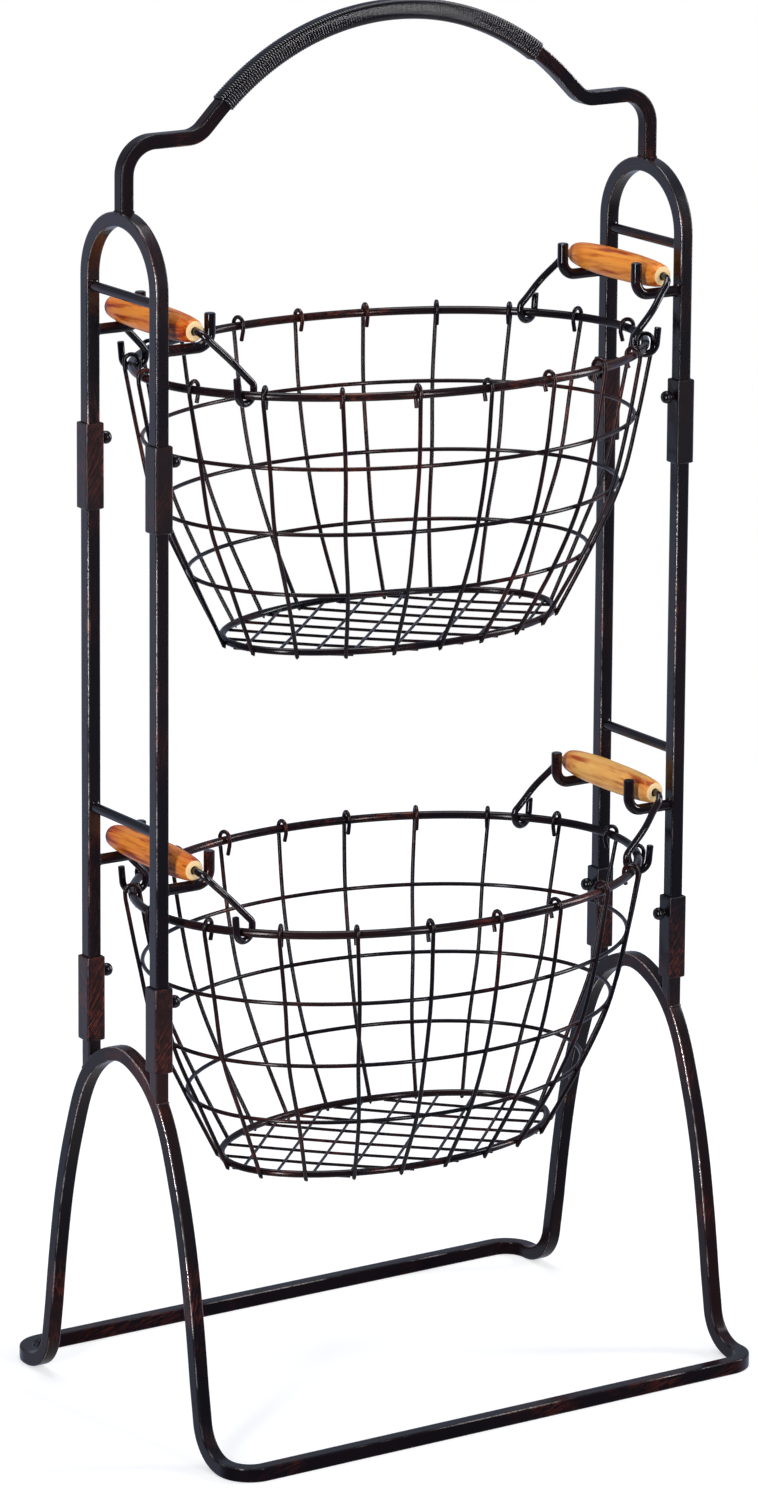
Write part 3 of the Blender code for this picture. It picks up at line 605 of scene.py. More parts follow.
def square(side, corner):
    """Maker of a square section with rounded corners and a held edge each side of every corner."""
    def make(bm):
        grid = bmesh.ops.create_grid(bm, x_segments=1, y_segments=1, size=side / 2)["verts"]
        bmesh.ops.bevel(bm, geom=grid, offset=corner, offset_type="OFFSET", segments=CORNER_FLATS,
                        profile=0.5, affect="VERTICES", material=-1)
        for edge in [e for e in bm.edges if e.calc_length() > side / 2]:
            far = edge.verts[1]
            _, middle = bmesh.utils.edge_split(edge, edge.verts[0], CORNER_HOLD / edge.calc_length())
            rest = next(e for e in middle.link_edges if e.other_vert(middle) == far)
            bmesh.utils.edge_split(rest, far, CORNER_HOLD / rest.calc_length())
    return make


def round_section(diameter, sides):
    def make(bm):
        bmesh.ops.create_circle(bm, cap_ends=True, radius=diameter / 2, segments=sides)
    return make


def tube(bm, path, normal):
    """The stand's square tube along a flat path."""
    sizes = bpy.context.scene.stand_frame
    sweep(bm, square(sizes.tube, sizes.corner), stations(path, normal))


def rod(bm, path, diameter, sides, chamfer=0.0, normal=None):
    """A round wire along a path, its ends cut and slightly chamfered."""
    girths = None
    if chamfer:
        first = path[0] + (path[1] - path[0]).normalized() * chamfer
        last = path[-1] + (path[-2] - path[-1]).normalized() * chamfer
        path = [path[0], first] + list(path[1:-1]) + [last, path[-1]]
        small = 1 - 2 * chamfer / diameter
        girths = [small] + [1.0] * (len(path) - 2) + [small]
    sweep(bm, round_section(diameter, sides), stations(path, normal), girths)


def loop(bm, path, diameter, sides):
    """A closed round wire along a level path."""
    places = stations(path, UP, closed=True)
    sweep(bm, round_section(diameter, sides), places, closed=True, even=True)


def bead(bm, path, radius, closed=False, normal=None):
    """A lumpy run of weld."""
    girths = []
    for k in range(len(path)):
        girths.append(1.0 + sum(height * math.sin(pace * k + start) for height, pace, start in LUMPS))
    if not closed:
        girths[0] = girths[-1] = BEAD_END
    sweep(bm, round_section(2 * radius, 8), stations(path, normal, closed), girths, closed, closed)


def collar_of_weld(bm, centre, axis, radius, size, steps=18):
    """A bead round a rod where it meets a flat face."""
    spin = axis.to_track_quat("Z", "Y").to_matrix()
    path = []
    for k in range(steps):
        angle = 2 * math.pi * k / steps
        path.append(Vector(centre) + spin @ (Vector((math.cos(angle), math.sin(angle), 0)) * radius))
    bead(bm, path, size, closed=True, normal=axis)


def sleeve(bm, sizes, x, y, top, open_below):
    """A square collar with eased edges and a hollow that a post fits into."""
    bottom = top - sizes.collar_length
    half = sizes.collar / 2
    bore = sizes.tube / 2 + BORE_PLAY
    levels = [(bottom, half - EASE), (bottom + EASE, half), (top - EASE, half), (top, half - EASE),
              (top, bore + EASE / 2), (top - EASE / 2, bore)]
    if open_below:
        levels += [(bottom + EASE / 2, bore), (bottom, bore + EASE / 2)]
    else:
        levels.append((top - BLIND_DEPTH, bore))
    places = [Matrix.Translation((x, y, z)) for z, _ in levels]
    girths = [size / half for _, size in levels]
    sweep(bm, square(sizes.collar, sizes.corner), places, girths, closed=open_below)


def turned(bm, profile, centre, axis, steps):
    """A turned piece; the profile is a list of (along the axis, radius)."""
    spin = axis.to_track_quat("Z", "Y").to_matrix()
    verts = [bm.verts.new(Vector(centre) + spin @ Vector((radius, 0.0, along)))
             for along, radius in profile]
    edges = [bm.edges.new(pair) for pair in zip(verts, verts[1:])]
    bmesh.ops.spin(bm, geom=verts + edges, cent=centre, axis=axis, angle=2 * math.pi, steps=steps,
                   use_merge=True)
    bmesh.ops.remove_doubles(bm, verts=bm.verts, dist=MERGED)


def piece(name, bm, body, nodes, paint, sharp=38):
    """Turns a bmesh into a shown piece that rides on a body in the place of some CAD nodes."""
    bmesh.ops.recalc_face_normals(bm, faces=bm.faces)
    mesh = bpy.data.meshes.new(name)
    bm.to_mesh(mesh)
    bm.free()
    mesh.materials.append(paint)
    mesh.shade_smooth()
    mesh.set_sharp_from_angle(angle=math.radians(sharp))
    item = bpy.data.objects.new(name, mesh)
    bpy.context.collection.objects.link(item)
    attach(item, body)
    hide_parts(*nodes)
    return item


def flipped(path, x=1, y=1):
    """The path mirrored across the planes whose sign is -1."""
    return [Vector((point.x * x, point.y * y, point.z)) for point in path]


def leg_points(sizes):
    return [(y * sizes.leg_spread, z * sizes.arch_top) for y, z in LEG_SHARES]


def arch_outside(sizes, y):
    """Height of the foot arch's outer face at a distance y from the middle."""
    arch = eased([(0.0, *place) for place in leg_points(sizes)], 6)
    edge = []
    for before, after in zip(arch, arch[1:]):
        ahead = (after - before).normalized()
        edge.append((before + after) / 2 + Vector((0.0, -ahead.z, ahead.y)) * (sizes.tube / 2))
    for near, far in zip(edge, edge[1:]):
        if near.y <= y <= far.y:
            return near.z + (far.z - near.z) * (y - near.y) / (far.y - near.y)
    return edge[0].z


class STAND_OT_foot_frames(Operator):
    """Builds the two arched foot frames of square tube"""
    bl_idname = "stand.foot_frames"
    bl_label = "Foot frames"

    def execute(self, context):
        sizes = context.scene.stand_frame
        floor = sizes.tube / 2
        half = leg_points(sizes)
        last_y, last_z = half[-1]
        toe_y = last_y + (last_z - floor) * math.tan(FOOT_LEAN)
        toe = bent([(0, last_y, last_z), (0, toe_y, floor), (0, sizes.foot_reach, floor)],
                   [sizes.foot_bend], 6)[1:]
        front = [(0.0, -y, z) for y, z in reversed(half[1:])]
        arch = eased(front + [(0.0, y, z) for y, z in half], 5)
        path = flipped(reversed(toe), y=-1) + arch + toe
        for side, sign in SIDES:
            bm = blank()
            tube(bm, [point + X * (sign * sizes.post_x) for point in path], X)
            piece("foot_frame_" + side, bm, "base", ["base_side_" + side], bronze("Bronze base tube"))
        return {"FINISHED"}


class STAND_OT_floor_bars(Operator):
    """Builds the two floor bars, which run from foot to foot"""
    bl_idname = "stand.floor_bars"
    bl_label = "Floor bars"

    def execute(self, context):
        sizes = context.scene.stand_frame
        x, z = sizes.post_x, sizes.tube / 2
        for end, sign in ENDS:
            heel = sign * sizes.foot_reach
            run = sign * (sizes.foot_reach + sizes.bar_out)
            corners = [(-x, heel, z), (-x, run, z), (x, run, z), (x, heel, z)]
            bm = blank()
            tube(bm, bent(corners, [sizes.corner_bend] * 2, 6), UP)
            piece("long_floor_bar_" + end, bm, "base", ["floor_bar_" + end], bronze("Bronze floor bar"))
        return {"FINISHED"}


class STAND_OT_sockets(Operator):
    """Builds the lower collars with the post stubs that stand on the foot arches"""
    bl_idname = "stand.sockets"
    bl_label = "Lower collars"

    def execute(self, context):
        sizes = context.scene.stand_frame
        bottom = sizes.lower_top - sizes.collar_length
        gap = 0.0002
        thin = sizes.tube - gap
        for _, name, x_sign, y_sign in POSTS:
            bm = blank()
            x, y = x_sign * sizes.post_x, y_sign * sizes.post_y
            sleeve(bm, sizes, x, y, sizes.lower_top, open_below=False)
            # The stub, whose lower end then follows the arch below it
            below = Matrix.Translation((x, y, STUB_START))
            inside = Matrix.Translation((x, y, bottom + 0.002))
            known = set(bm.verts)
            sweep(bm, square(thin, sizes.corner), [below, inside])
            for vert in bm.verts:
                if vert not in known and vert.co.z < bottom:
                    vert.co.z = arch_outside(sizes, abs(vert.co.y)) - STUB_SINK
            for face in (-1, 1):
                beside = sizes.post_y + face * (thin / 2 + gap)
                height = arch_outside(sizes, beside) + gap / 2
                run = [Vector((x + thin * share, y_sign * beside, height)) for share in STUB_SHARES]
                bead(bm, run, sizes.weld)
            piece("lower_collar_" + name, bm, "base", ["lower_socket_" + name],
                  bronze("Brushed lower collar"))
        return {"FINISHED"}


class STAND_OT_posts(Operator):
    """Builds the straight mid posts"""
    bl_idname = "stand.posts"
    bl_label = "Mid posts"

    def execute(self, context):
        sizes = context.scene.stand_frame
        low, high = sizes.lower_top - sizes.socket + SEAT, sizes.upper_top - sizes.socket
        for side, name, x_sign, y_sign in POSTS:
            bm = blank()
            x, y = x_sign * sizes.post_x, y_sign * sizes.post_y
            tube(bm, [Vector((x, y, low)), Vector((x, y, high))], X)
            piece("post_" + name, bm, "mid_" + side, ["mid_post_" + name], bronze("Bronze tube"))
        return {"FINISHED"}


class STAND_OT_collars(Operator):
    """Builds the upper collars"""
    bl_idname = "stand.collars"
    bl_label = "Upper collars"

    def execute(self, context):
        sizes = context.scene.stand_frame
        for side, name, x_sign, y_sign in POSTS:
            bm = blank()
            sleeve(bm, sizes, x_sign * sizes.post_x, y_sign * sizes.post_y, sizes.upper_top,
                   open_below=True)
            piece("collar_" + name, bm, "mid_" + side, ["upper_collar_" + name],
                  bronze("Brushed upper collar"))
        return {"FINISHED"}


class STAND_OT_rungs(Operator):
    """Builds the round rungs between the posts, welded at both ends"""
    bl_idname = "stand.rungs"
    bl_label = "Rungs"

    def execute(self, context):
        sizes = context.scene.stand_frame
        hooks = context.scene.stand_hooks
        reach = sizes.post_y - sizes.tube / 2
        rows = (("mid", hooks.mid_rung, "mid_{}"), ("top", hooks.top_rung, "top_frame"))
        for row, height, body in rows:
            for side, sign in SIDES:
                bm = blank()
                ends = [Vector((sign * sizes.post_x, y, height)) for y in (-reach, reach)]
                rod(bm, ends, hooks.rod, sides=20)
                for end in ends:
                    collar_of_weld(bm, end, Y, hooks.rod / 2, sizes.weld)
                piece(f"{row}_cross_rung_{side}", bm, body.format(side), [f"{row}_rung_{side}"],
                      bronze("Bronze rod"))
        return {"FINISHED"}


class STAND_OT_hooks(Operator):
    """Builds the upturned hooks that carry the grips"""
    bl_idname = "stand.hooks"
    bl_label = "Hooks"

    def execute(self, context):
        sizes = context.scene.stand_frame
        hooks = context.scene.stand_hooks
        face = sizes.post_x - sizes.tube / 2
        swell = (hooks.hook - hooks.rod) / 2
        tip = hooks.tip_x - swell
        rows = (("mid", hook_height("lower"), "mid_{}"), ("top", hook_height("upper"), "top_frame"))
        for row, height, body in rows:
            for side, name, x_sign, y_sign in POSTS:
                y, z = y_sign * sizes.post_y, height - swell
                corners = [(x_sign * face, y, z), (x_sign * tip, y, z),
                           (x_sign * tip, y, z + hooks.tip_rise)]
                bm = blank()
                path = bent(corners, [hooks.bend], 7.5)
                rod(bm, path, hooks.hook, sides=20, chamfer=EASE, normal=Y)
                collar_of_weld(bm, corners[0], X, hooks.hook / 2, sizes.weld)
                piece(f"{row}_grip_hook_{name}", bm, body.format(side), [f"{row}_hook_{name}"],
                      bronze("Bronze rod"))
        return {"FINISHED"}


class STAND_OT_top_arches(Operator):
    """Builds the arched tops of the side frames"""
    bl_idname = "stand.top_arches"
    bl_label = "Top arches"

    def execute(self, context):
        sizes = context.scene.stand_frame
        foot = sizes.upper_top - sizes.socket + SEAT
        for side, sign in SIDES:
            x, y = sign * sizes.post_x, sizes.post_y
            path = [Vector((x, -y, foot))]
            for k in range(ARCH_STEPS + 1):
                angle = math.pi * k / ARCH_STEPS
                path.append(Vector((x, -y * math.cos(angle), sizes.spring + y * math.sin(angle))))
            path.append(Vector((x, y, foot)))
            bm = blank()
            tube(bm, path, X)
            piece("arched_top_" + side, bm, "top_frame", ["top_arch_" + side], bronze("Bronze tube"))
        return {"FINISHED"}


def handle_half(sizes, handle):
    """Half of the handle's axis, from the top arch up to the large arc."""
    foot = sizes.spring + sizes.post_y + sizes.tube / 2 - WELD_SINK
    centre_z = handle.top - handle.arc
    tangent_x = handle.arc * math.sin(handle.slope)
    tangent_z = centre_z + handle.arc * math.cos(handle.slope)
    dip_x = tangent_x + (tangent_z - handle.shoulder) / math.tan(handle.slope)
    corners = [(sizes.post_x, 0, foot), (sizes.post_x, 0, handle.shoulder), (dip_x, 0, handle.shoulder),
               (tangent_x, 0, tangent_z)]
    return bent(corners, [handle.shoulder_bend, handle.dip_bend], 5)


class STAND_OT_handle(Operator):
    """Builds the carrying handle of square tube and the weld at its feet"""
    bl_idname = "stand.handle"
    bl_label = "Handle"

    def execute(self, context):
        sizes = context.scene.stand_frame
        handle = context.scene.stand_handle
        right = handle_half(sizes, handle)
        centre_z = handle.top - handle.arc
        arc = []
        for k in range(1, ARC_STEPS):
            angle = handle.slope * (1 - 2 * k / ARC_STEPS)
            height = centre_z + handle.arc * math.cos(angle)
            arc.append(Vector((handle.arc * math.sin(angle), 0.0, height)))
        bm = blank()
        tube(bm, right + arc + flipped(reversed(right), x=-1), Y)
        half = sizes.tube / 2
        corners = [(half, half), (-half, half), (-half, -half), (half, -half)]
        for sign in (-1, 1):
            ring = []
            for (ax, ay), (bx, by) in zip(corners, corners[1:] + corners[:1]):
                for share in HANDLE_SHARES:
                    px, py = ax + (bx - ax) * share, ay + (by - ay) * share
                    drop = (py / sizes.post_y) ** 2 * sizes.post_y / 2      # of the round arch below
                    ring.append(Vector((sign * sizes.post_x + px, py, right[0].z + WELD_SINK - drop)))
            bead(bm, ring, sizes.weld, closed=True)
        piece("carrying_handle", bm, "top_frame", ["handle_bar"], bronze("Bronze handle tube"))
        return {"FINISHED"}


class STAND_OT_winding(Operator):
    """Winds the wire turn by turn round the handle"""
    bl_idname = "stand.winding"
    bl_label = "Winding"

    def execute(self, context):
        sizes = context.scene.stand_frame
        handle = context.scene.stand_handle
        flat = (sizes.tube + handle.wire) / 2 + TURN_GAP
        centre_z = handle.top - handle.arc
        turn = []
        for u_sign, v_sign, first in ((1, 1, 0), (-1, 1, 90), (-1, -1, 180), (1, -1, 270)):
            for step in (0, 30, 60, 90):
                angle = math.radians(first + step)
                turn.append((u_sign * (flat - TURN_BEND) + TURN_BEND * math.cos(angle),
                             v_sign * (flat - TURN_BEND) + TURN_BEND * math.sin(angle)))
        path = []
        steps = handle.turns * len(turn)
        for k in range(steps + 1):
            place = handle.start + (handle.end - handle.start) * k / steps
            u, v = turn[k % len(turn)]
            radius = handle.arc + v
            path.append(Vector((radius * math.sin(place), u, centre_z + radius * math.cos(place))))
        bm = blank()
        rod(bm, path, handle.wire, sides=8, chamfer=0.0004)
        piece("wound_grip", bm, "top_frame", ["handle_winding"], bronze("Wound wire"), sharp=60)
        return {"FINISHED"}


class STAND_OT_screws(Operator):
    """Builds the ball-headed thumb screws of the collars"""
    bl_idname = "stand.screws"
    bl_label = "Thumb screws"

    def execute(self, context):
        sizes = context.scene.stand_frame
        hooks = context.scene.stand_hooks
        inner = -sizes.tube / 2 - SEAT
        outer = -sizes.collar / 2 - SEAT
        neck_length, neck, ease = NECK
        head = -sizes.collar / 2 - neck_length
        profile = [(inner, 0.0), (inner, hooks.screw / 2), (outer, hooks.screw / 2), (outer, neck),
                   (head + ease, neck), (head, neck - ease)]
        profile += [(head - along * hooks.head_length, across * hooks.head / 2)
                    for along, across in HEAD_SHARES]
        profile.append((head - hooks.head_length, 0.0))
        for tier, top in (("lower", sizes.lower_top), ("upper", sizes.upper_top)):
            for _, post, x_sign, y_sign in POSTS:
                centre = (x_sign * sizes.post_x, y_sign * sizes.post_y, top - hooks.screw_drop)
                bm = blank()
                turned(bm, profile, centre, X * x_sign, steps=28)
                name = f"{tier}_{post}"
                piece("thumb_screw_" + name, bm, "thumb_" + name, ["screw_" + name],
                      bronze("Bronze screw"), sharp=50)
        return {"FINISHED"}


def ring_size(basket, name):
    """Depth below the rim and half axes of one of the basket's rings."""
    depth, long_share, wide_share = LEVEL_SHARES[name]
    return depth * basket.depth, long_share * basket.half_length, wide_share * basket.half_width


def on_ring(basket, name, angle, rim_z, out=0.0, rise=0.0):
    """A point beside a ring at the ellipse's own angle, moved outward and up."""
    depth, half_length, half_width = ring_size(basket, name)
    normal = Vector((half_width * math.cos(angle), half_length * math.sin(angle), 0.0)).normalized()
    place = Vector((half_length * math.cos(angle), half_width * math.sin(angle), rim_z - depth + rise))
    return place + normal * out


def hook_height(tier):
    """Height of the level run of a tier's hooks."""
    hooks = bpy.context.scene.stand_hooks
    return hooks.height + (hooks.pitch if tier == "upper" else 0.0)


def rim_height(tier):
    return hook_height(tier) - bpy.context.scene.stand_basket.rim_drop


def wire_angles(basket, shift, steps=4000):
    """The ellipse's own angles of points spaced evenly along the rim."""
    run, runs = 0.0, [0.0]
    for k in range(steps):
        angle = 2 * math.pi * (k + 0.5) / steps
        run += math.hypot(basket.half_length * math.sin(angle), basket.half_width * math.cos(angle))
        runs.append(run)
    scale = 2 * math.pi / steps
    angles = []
    for wire in range(basket.wires):
        wanted = (runs[-1] * wire / basket.wires + shift / scale) % runs[-1]
        after = next(k for k, value in enumerate(runs) if value > wanted)
        part = (wanted - runs[after - 1]) / (runs[after] - runs[after - 1])
        angles.append(scale * (after - 1 + part))
    return angles


def ellipse(basket, name, rim_z, steps=RING_STEPS):
    return [on_ring(basket, name, 2 * math.pi * k / steps, rim_z) for k in range(steps)]


class STAND_OT_hoops(Operator):
    """Builds the rims and the hoops of both baskets"""
    bl_idname = "stand.hoops"
    bl_label = "Rims and hoops"

    def execute(self, context):
        basket = context.scene.stand_basket
        hoops = (("rim", "rim_", basket.rim, 16), ("top_hoop", "hoop_top_", basket.wire, 10),
                 ("low_hoop", "hoop_low_", basket.wire, 10))
        for tier in TIERS:
            for name, node, wire, sides in hoops:
                bm = blank()
                loop(bm, ellipse(basket, name, rim_height(tier)), wire, sides)
                piece(f"{name}_wire_{tier}", bm, "basket_" + tier, [node + tier], bronze("Bronze wire"))
        return {"FINISHED"}


def crossings(basket):
    """Where an upright crosses the rings below the rim.

    For each ring: its name, how far outside it the upright passes, and the spot weld's way out, rise
    and radius.
    """
    beside = basket.wire - 0.0002
    spot = (beside, beside / 2, 0.0, basket.wire * 0.46)
    beside_ring = (basket.ring + basket.wire) / 2
    return (("top_hoop", *spot), ("mid_hoop", *spot), ("low_hoop", *spot),
            ("ring", beside_ring, beside_ring * 0.7, -0.0016, basket.wire * 0.56))


def upright_path(basket, rim_z, angle, wobble):
    """From the tail inside the rim over the rim and down to the bottom ring."""
    beside = (basket.rim + basket.wire) / 2 + 0.0002
    eye = beside + 0.0004
    lift = 0.0009 + 0.0004 * wobble
    tail = basket.tail + 0.0008 * wobble
    path = [on_ring(basket, "rim", angle, rim_z, 0.0018 - eye, -tail),
            on_ring(basket, "rim", angle, rim_z, -eye, -0.003)]
    for step in range(11):
        turn = math.pi * (1 - step / 10)
        out, rise = eye * math.cos(turn), lift + eye * math.sin(turn)
        path.append(on_ring(basket, "rim", angle, rim_z, out, rise))
    down = [on_ring(basket, "rim", angle, rim_z, beside, -0.004)]
    for name, out, *_ in crossings(basket):
        down.append(on_ring(basket, name, angle, rim_z, out))
    end = down[-1] + (down[-1] - down[-2]).normalized() * 0.0006
    return path + eased(down + [end], 6)


class STAND_OT_uprights(Operator):
    """Builds the upright wires, looped over the rim, with the middle hoop and the spot welds"""
    bl_idname = "stand.uprights"
    bl_label = "Upright wires"

    def execute(self, context):
        basket = context.scene.stand_basket
        for tier, shift in (("lower", 0.0), ("upper", basket.shift)):
            rim_z = rim_height(tier)
            bm = blank()
            loop(bm, ellipse(basket, "mid_hoop", rim_z), basket.wire, sides=10)
            for k, angle in enumerate(wire_angles(basket, shift)):
                path = upright_path(basket, rim_z, angle, math.sin(k * 2.3))
                rod(bm, path, basket.wire, sides=10, chamfer=0.0003)
                for name, _, out, rise, radius in crossings(basket):
                    spot = Matrix.Translation(on_ring(basket, name, angle, rim_z, out, rise))
                    bmesh.ops.create_icosphere(bm, subdivisions=1, radius=radius, matrix=spot)
            piece("upright_wires_" + tier, bm, "basket_" + tier, ["cage_" + tier],
                  bronze("Bronze wire"))
        return {"FINISHED"}


class STAND_OT_bottoms(Operator):
    """Builds the bottom rings and the diagonal wires under them"""
    bl_idname = "stand.bottoms"
    bl_label = "Basket bottoms"

    def execute(self, context):
        basket = context.scene.stand_basket
        _, half_length, half_width = ring_size(basket, "ring")
        gap = 0.0002
        for tier in TIERS:
            rim_z = rim_height(tier)
            bm = blank()
            loop(bm, ellipse(basket, "ring", rim_z, steps=144), basket.ring, sides=14)
            for degrees, drop in ((45, gap), (-45, gap + basket.lattice_step)):
                turn = math.radians(degrees)
                along = Vector((math.cos(turn), math.sin(turn), 0.0))
                across = Vector((-along.y, along.x, 0.0))
                # Where a line along this way meets the ring: bend * t ** 2 + 2 * slope * t + rest = 0
                bend = (along.x / half_length) ** 2 + (along.y / half_width) ** 2
                for k in range(-8, 9):
                    start = across * (k * basket.lattice_pitch + basket.lattice_offset)
                    slope = start.x * along.x / half_length ** 2 + start.y * along.y / half_width ** 2
                    rest = (start.x / half_length) ** 2 + (start.y / half_width) ** 2 - 1
                    root = slope ** 2 - bend * rest
                    if root <= 0 or 2 * math.sqrt(root) / bend < SHORTEST:
                        continue
                    half = math.sqrt(root) / bend + 0.0012 + 0.0006 * math.sin(3.1 * k)
                    middle = start - along * (slope / bend) + UP * (rim_z - basket.depth - drop)
                    run = [middle + along * half * share - UP * sag for share, sag in LATTICE_SAG]
                    rod(bm, run, basket.lattice, sides=8, chamfer=0.0002)
            piece("bottom_lattice_" + tier, bm, "basket_" + tier, ["bottom_" + tier],
                  bronze("Bronze wire"))
        return {"FINISHED"}


def grip_radius(bail, distance):
    share = distance / (bail.grip_length / 2)
    for (near, big), (far, small) in zip(GRIP_SHARES, GRIP_SHARES[1:]):
        if near <= share <= far:
            return bail.grip / 2 * (big + (small - big) * (share - near) / (far - near))
    return bail.grip / 2 * GRIP_SHARES[-1][1]


def grip_height(tier):
    """Height of a grip's axis: it lies on the hooks' level runs."""
    scene = bpy.context.scene
    rod_radius = scene.stand_hooks.rod / 2
    radius = grip_radius(scene.stand_bail, scene.stand_frame.post_y - rod_radius)
    return hook_height(tier) + rod_radius + radius + SEAT


def bowed(path, bow, steps=12):
    """The path with its longest straight stretch but the first bowed away from the bend before it."""
    k = max(range(2, len(path)), key=lambda k: (path[k] - path[k - 1]).length)
    start, end = path[k - 1], path[k]
    along = (end - start).normalized()
    back = path[k - 2] - start
    out = (along * back.dot(along) - back).normalized()
    arm = []
    for step in range(1, steps):
        share = step / steps
        arm.append(start.lerp(end, share) + out * (bow * math.sin(math.pi * share) ** 2))
    return path[:k] + arm + path[k:]


class STAND_OT_bails(Operator):
    """Bends the bails, which hook on the rim at both ends"""
    bl_idname = "stand.bails"
    bl_label = "Bails"

    def execute(self, context):
        basket = context.scene.stand_basket
        bail = context.scene.stand_bail
        for tier in TIERS:
            rim_z = rim_height(tier)
            spot = on_ring(basket, "rim", bail.spot, rim_z)
            out = Vector((math.cos(bail.turn), math.sin(bail.turn), 0.0)) * bail.hook
            bottom = rim_z - (basket.rim + bail.wire) / 2 - SEAT
            centre = Vector((spot.x, spot.y, bottom + bail.hook))
            down = UP * -bail.hook
            axis_z = grip_height(tier)
            corners = [Vector((bail.grip_x, 0.0, axis_z)),
                       Vector((bail.grip_x, bail.grip_length / 2 + bail.bend, axis_z)),
                       centre - out + UP * bail.knee, centre - out + down, centre + out + down,
                       centre + out * (1 + bail.splay) + UP * bail.stub]
            bends = [bail.bend, bail.knee_bend, bail.hook, bail.hook]
            half = bowed(bent(corners, bends, 9), bail.bow)[1:]
            for side, sign in SIDES:
                path = flipped(reversed(half), sign, -1) + flipped(half, sign)
                bm = blank()
                rod(bm, path, bail.wire, sides=14, chamfer=0.0004)
                name = f"{tier}_{side}"
                piece("bail_wire_" + name, bm, f"bail_{name}_body", ["bail_" + name],
                      bronze("Bronze bail"))
        return {"FINISHED"}


class STAND_OT_grips(Operator):
    """Turns the wooden grips"""
    bl_idname = "stand.grips"
    bl_label = "Wooden grips"

    def execute(self, context):
        bail = context.scene.stand_bail
        half = bail.grip_length / 2
        outline = eased([(share * half, radius * bail.grip / 2, 0.0) for share, radius in GRIP_SHARES], 5)
        shoulder = outline[-1].y
        bore = bail.wire / 2 + BORE_PLAY
        # From the middle to the end, round its eased edge and into the bore
        right = [(p.x, p.y) for p in outline]
        right += [(half - 0.0002, shoulder - 0.0006), (half, shoulder - 0.0011), (half, bore + 0.0003),
                  (half - 0.0004, bore), (half - 0.006, bore)]
        left = [(-along, radius) for along, radius in reversed(right[1:])]
        for tier in TIERS:
            for side, sign in SIDES:
                name = f"{tier}_{side}"
                centre = (sign * bail.grip_x, 0.0, grip_height(tier))
                bm = blank()
                turned(bm, left + right, centre, Y, steps=40)
                bmesh.ops.holes_fill(bm, edges=[edge for edge in bm.edges if edge.is_boundary])
                paint = stained_wood("Stained wood " + name.replace("_", " "), centre, *GRIP_LOOKS[name])
                piece("wooden_grip_" + name, bm, f"grip_{name}_body", ["grip_" + name], paint, 30)
        return {"FINISHED"}


# Each soft light: name, place, width and height, and power; they aim at the middle of the stand
LAMPS = (
    ("Left", (-2.45, -1.55, 0.80), (0.40, 1.9), 60.0),
    ("Front", (0.35, -3.10, 1.20), (0.16, 1.8), 26.0),
    ("Right", (2.30, -1.10, 1.30), (0.30, 2.0), 36.0),
    ("Above", (0.10, 0.30, 2.70), (1.20, 1.2), 27.0),
)
AIM = Vector((0.0, 0.0, 0.45))
# The camera, fitted to the photograph: its place, yaw, pitch and roll in degrees, and its focal length
# as a share of the picture's height
CAMERA_PLACE = (-2.4650, -3.7428, 1.6293)
CAMERA_TURN = (33.264, 11.5, 0.377)
FOCAL_SHARE = 6612.3 / 1500
# The room that the steel mirrors, low and high: colour towards the camera and away from it
ROOM_LOW = ((0.05, 0.05, 0.07), (0.46, 0.52, 0.70))
ROOM_HIGH = ((0.10, 0.11, 0.13), (0.24, 0.28, 0.36))
ROOM_FLOOR = (0.50, 0.50, 0.51)
WHITE = (1.0, 1.0, 1.0)


def studio_world():
    """White to look at; for light and reflections, a dim room with a pale backdrop and floor."""
    world = bpy.data.worlds.new("Soft studio")
    world.use_nodes = True
    shader = Shader(world.node_tree)
    way = shader.node("ShaderNodeTexCoord", {}, {}, "Generated")
    away = way.dot((0.55, 0.83, 0.0))
    low = shader.mix(away.between(-0.4, 0.5), *ROOM_LOW)
    high = shader.mix(away.between(-0.5, 0.6), *ROOM_HIGH)
    room = shader.mix(way.dot(UP).between(-0.10, 0.20), low, high)
    room = shader.mix(way.dot(-UP).between(0.45, 0.85), room, ROOM_FLOOR)
    dim = shader.node("ShaderNodeBackground", {}, {"Color": room})
    white = shader.node("ShaderNodeBackground", {}, {"Color": WHITE})
    seen = shader.node("ShaderNodeLightPath", {}, {}, "Is Camera Ray")
    both = shader.node("ShaderNodeMixShader", {}, {0: seen, 1: dim, 2: white})
    shader.feed(world.node_tree.nodes["World Output"].inputs["Surface"], both)
    return world


def floor_paint():
    """Pale floor that glows, and does so more away from the stand, so that it melts into the white."""
    paint = Paint("Studio floor")
    glow = paint.mix(paint.place().reach().between(0.5, 1.4), (0.80, 0.80, 0.80), WHITE)
    return paint.finish(base_color=tuple(bpy.context.scene.stand_finish.floor), roughness=0.8,
                        specular_ior_level=0.0, emission_color=glow, emission_strength=0.70)


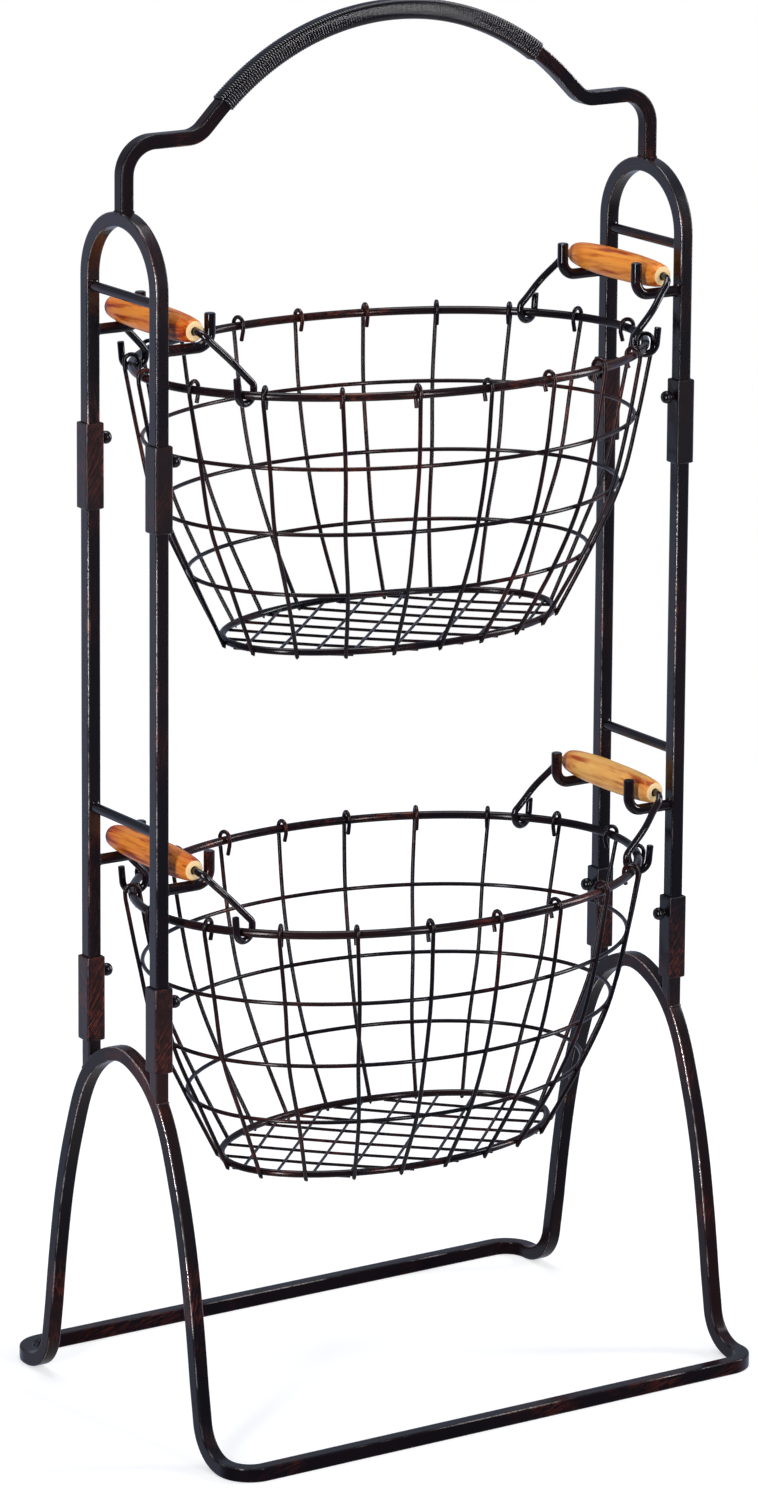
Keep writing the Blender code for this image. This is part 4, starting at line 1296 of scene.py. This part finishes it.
class STAND_OT_stage(Operator):
    """Sets up the floor, the soft light and the camera"""
    bl_idname = "stand.stage"
    bl_label = "Stage"

    def execute(self, context):
        scene = context.scene
        bm = blank()
        bmesh.ops.create_circle(bm, cap_ends=True, radius=1.7, segments=96)
        mesh = bpy.data.meshes.new("studio_floor")
        bm.to_mesh(mesh)
        bm.free()
        mesh.materials.append(floor_paint())
        floor = bpy.data.objects.new("studio_floor", mesh)
        context.collection.objects.link(floor)
        floor.visible_diffuse = False
        floor.visible_glossy = False
        scene.world = studio_world()
        for name, place, size, power in LAMPS:
            lamp = bpy.data.lights.new(name, "AREA")
            lamp.shape = "RECTANGLE"
            lamp.size, lamp.size_y = size
            lamp.energy = power
            holder = bpy.data.objects.new(name, lamp)
            context.collection.objects.link(holder)
            holder.location = place
            holder.rotation_euler = (AIM - Vector(place)).to_track_quat("-Z", "Y").to_euler()
        scene.view_settings.view_transform = "Standard"
        camera = bpy.data.cameras.new("Camera")
        camera.sensor_width = 36.0
        camera.lens = FOCAL_SHARE * camera.sensor_width
        camera.shift_y = -0.25
        camera.clip_end = 200.0
        view = bpy.data.objects.new("Camera", camera)
        context.collection.objects.link(view)
        yaw, pitch, roll = map(math.radians, CAMERA_TURN)
        turn = Matrix.Rotation(-yaw, 4, "Z") @ Matrix.Rotation(math.pi / 2 - pitch, 4, "X")
        turn = turn @ Matrix.Rotation(roll, 4, "Z")
        view.matrix_world = Matrix.Translation(CAMERA_PLACE) @ turn
        scene.camera = view
        return {"FINISHED"}


PIECES = (STAND_OT_foot_frames, STAND_OT_floor_bars, STAND_OT_sockets, STAND_OT_posts, STAND_OT_collars,
          STAND_OT_rungs, STAND_OT_hooks, STAND_OT_top_arches, STAND_OT_handle, STAND_OT_winding,
          STAND_OT_screws, STAND_OT_hoops, STAND_OT_uprights, STAND_OT_bottoms, STAND_OT_bails,
          STAND_OT_grips, STAND_OT_stage)
SETTINGS = (("stand_frame", FrameSizes), ("stand_hooks", HookSizes), ("stand_handle", HandleSizes),
            ("stand_basket", BasketSizes), ("stand_bail", BailSizes), ("stand_finish", Finishes))


class STAND_PT_panel(Panel):
    """Lists the stand's pieces and sizes"""
    bl_idname = "STAND_PT_panel"
    bl_label = "Basket stand"
    bl_space_type = "VIEW_3D"
    bl_region_type = "UI"
    bl_category = "Basket stand"

    def draw(self, context):
        for operator in PIECES:
            self.layout.operator(operator.bl_idname)
        for name, group in SETTINGS:
            box = self.layout.box()
            for key in group.__annotations__:
                box.prop(getattr(context.scene, name), key)


def register():
    for _, group in SETTINGS:
        bpy.utils.register_class(group)
    for name, group in SETTINGS:
        setattr(bpy.types.Scene, name, PointerProperty(type=group))
    for item in (*PIECES, STAND_PT_panel):
        bpy.utils.register_class(item)


def unregister():
    for item in (STAND_PT_panel, *reversed(PIECES)):
        bpy.utils.unregister_class(item)
    for name, group in reversed(SETTINGS):
        delattr(bpy.types.Scene, name)
        bpy.utils.unregister_class(group)


def main():
    register()
    for operator in PIECES:
        group, call = operator.bl_idname.split(".")
        getattr(getattr(bpy.ops, group), call)()


if __name__ == "__main__":
    main()
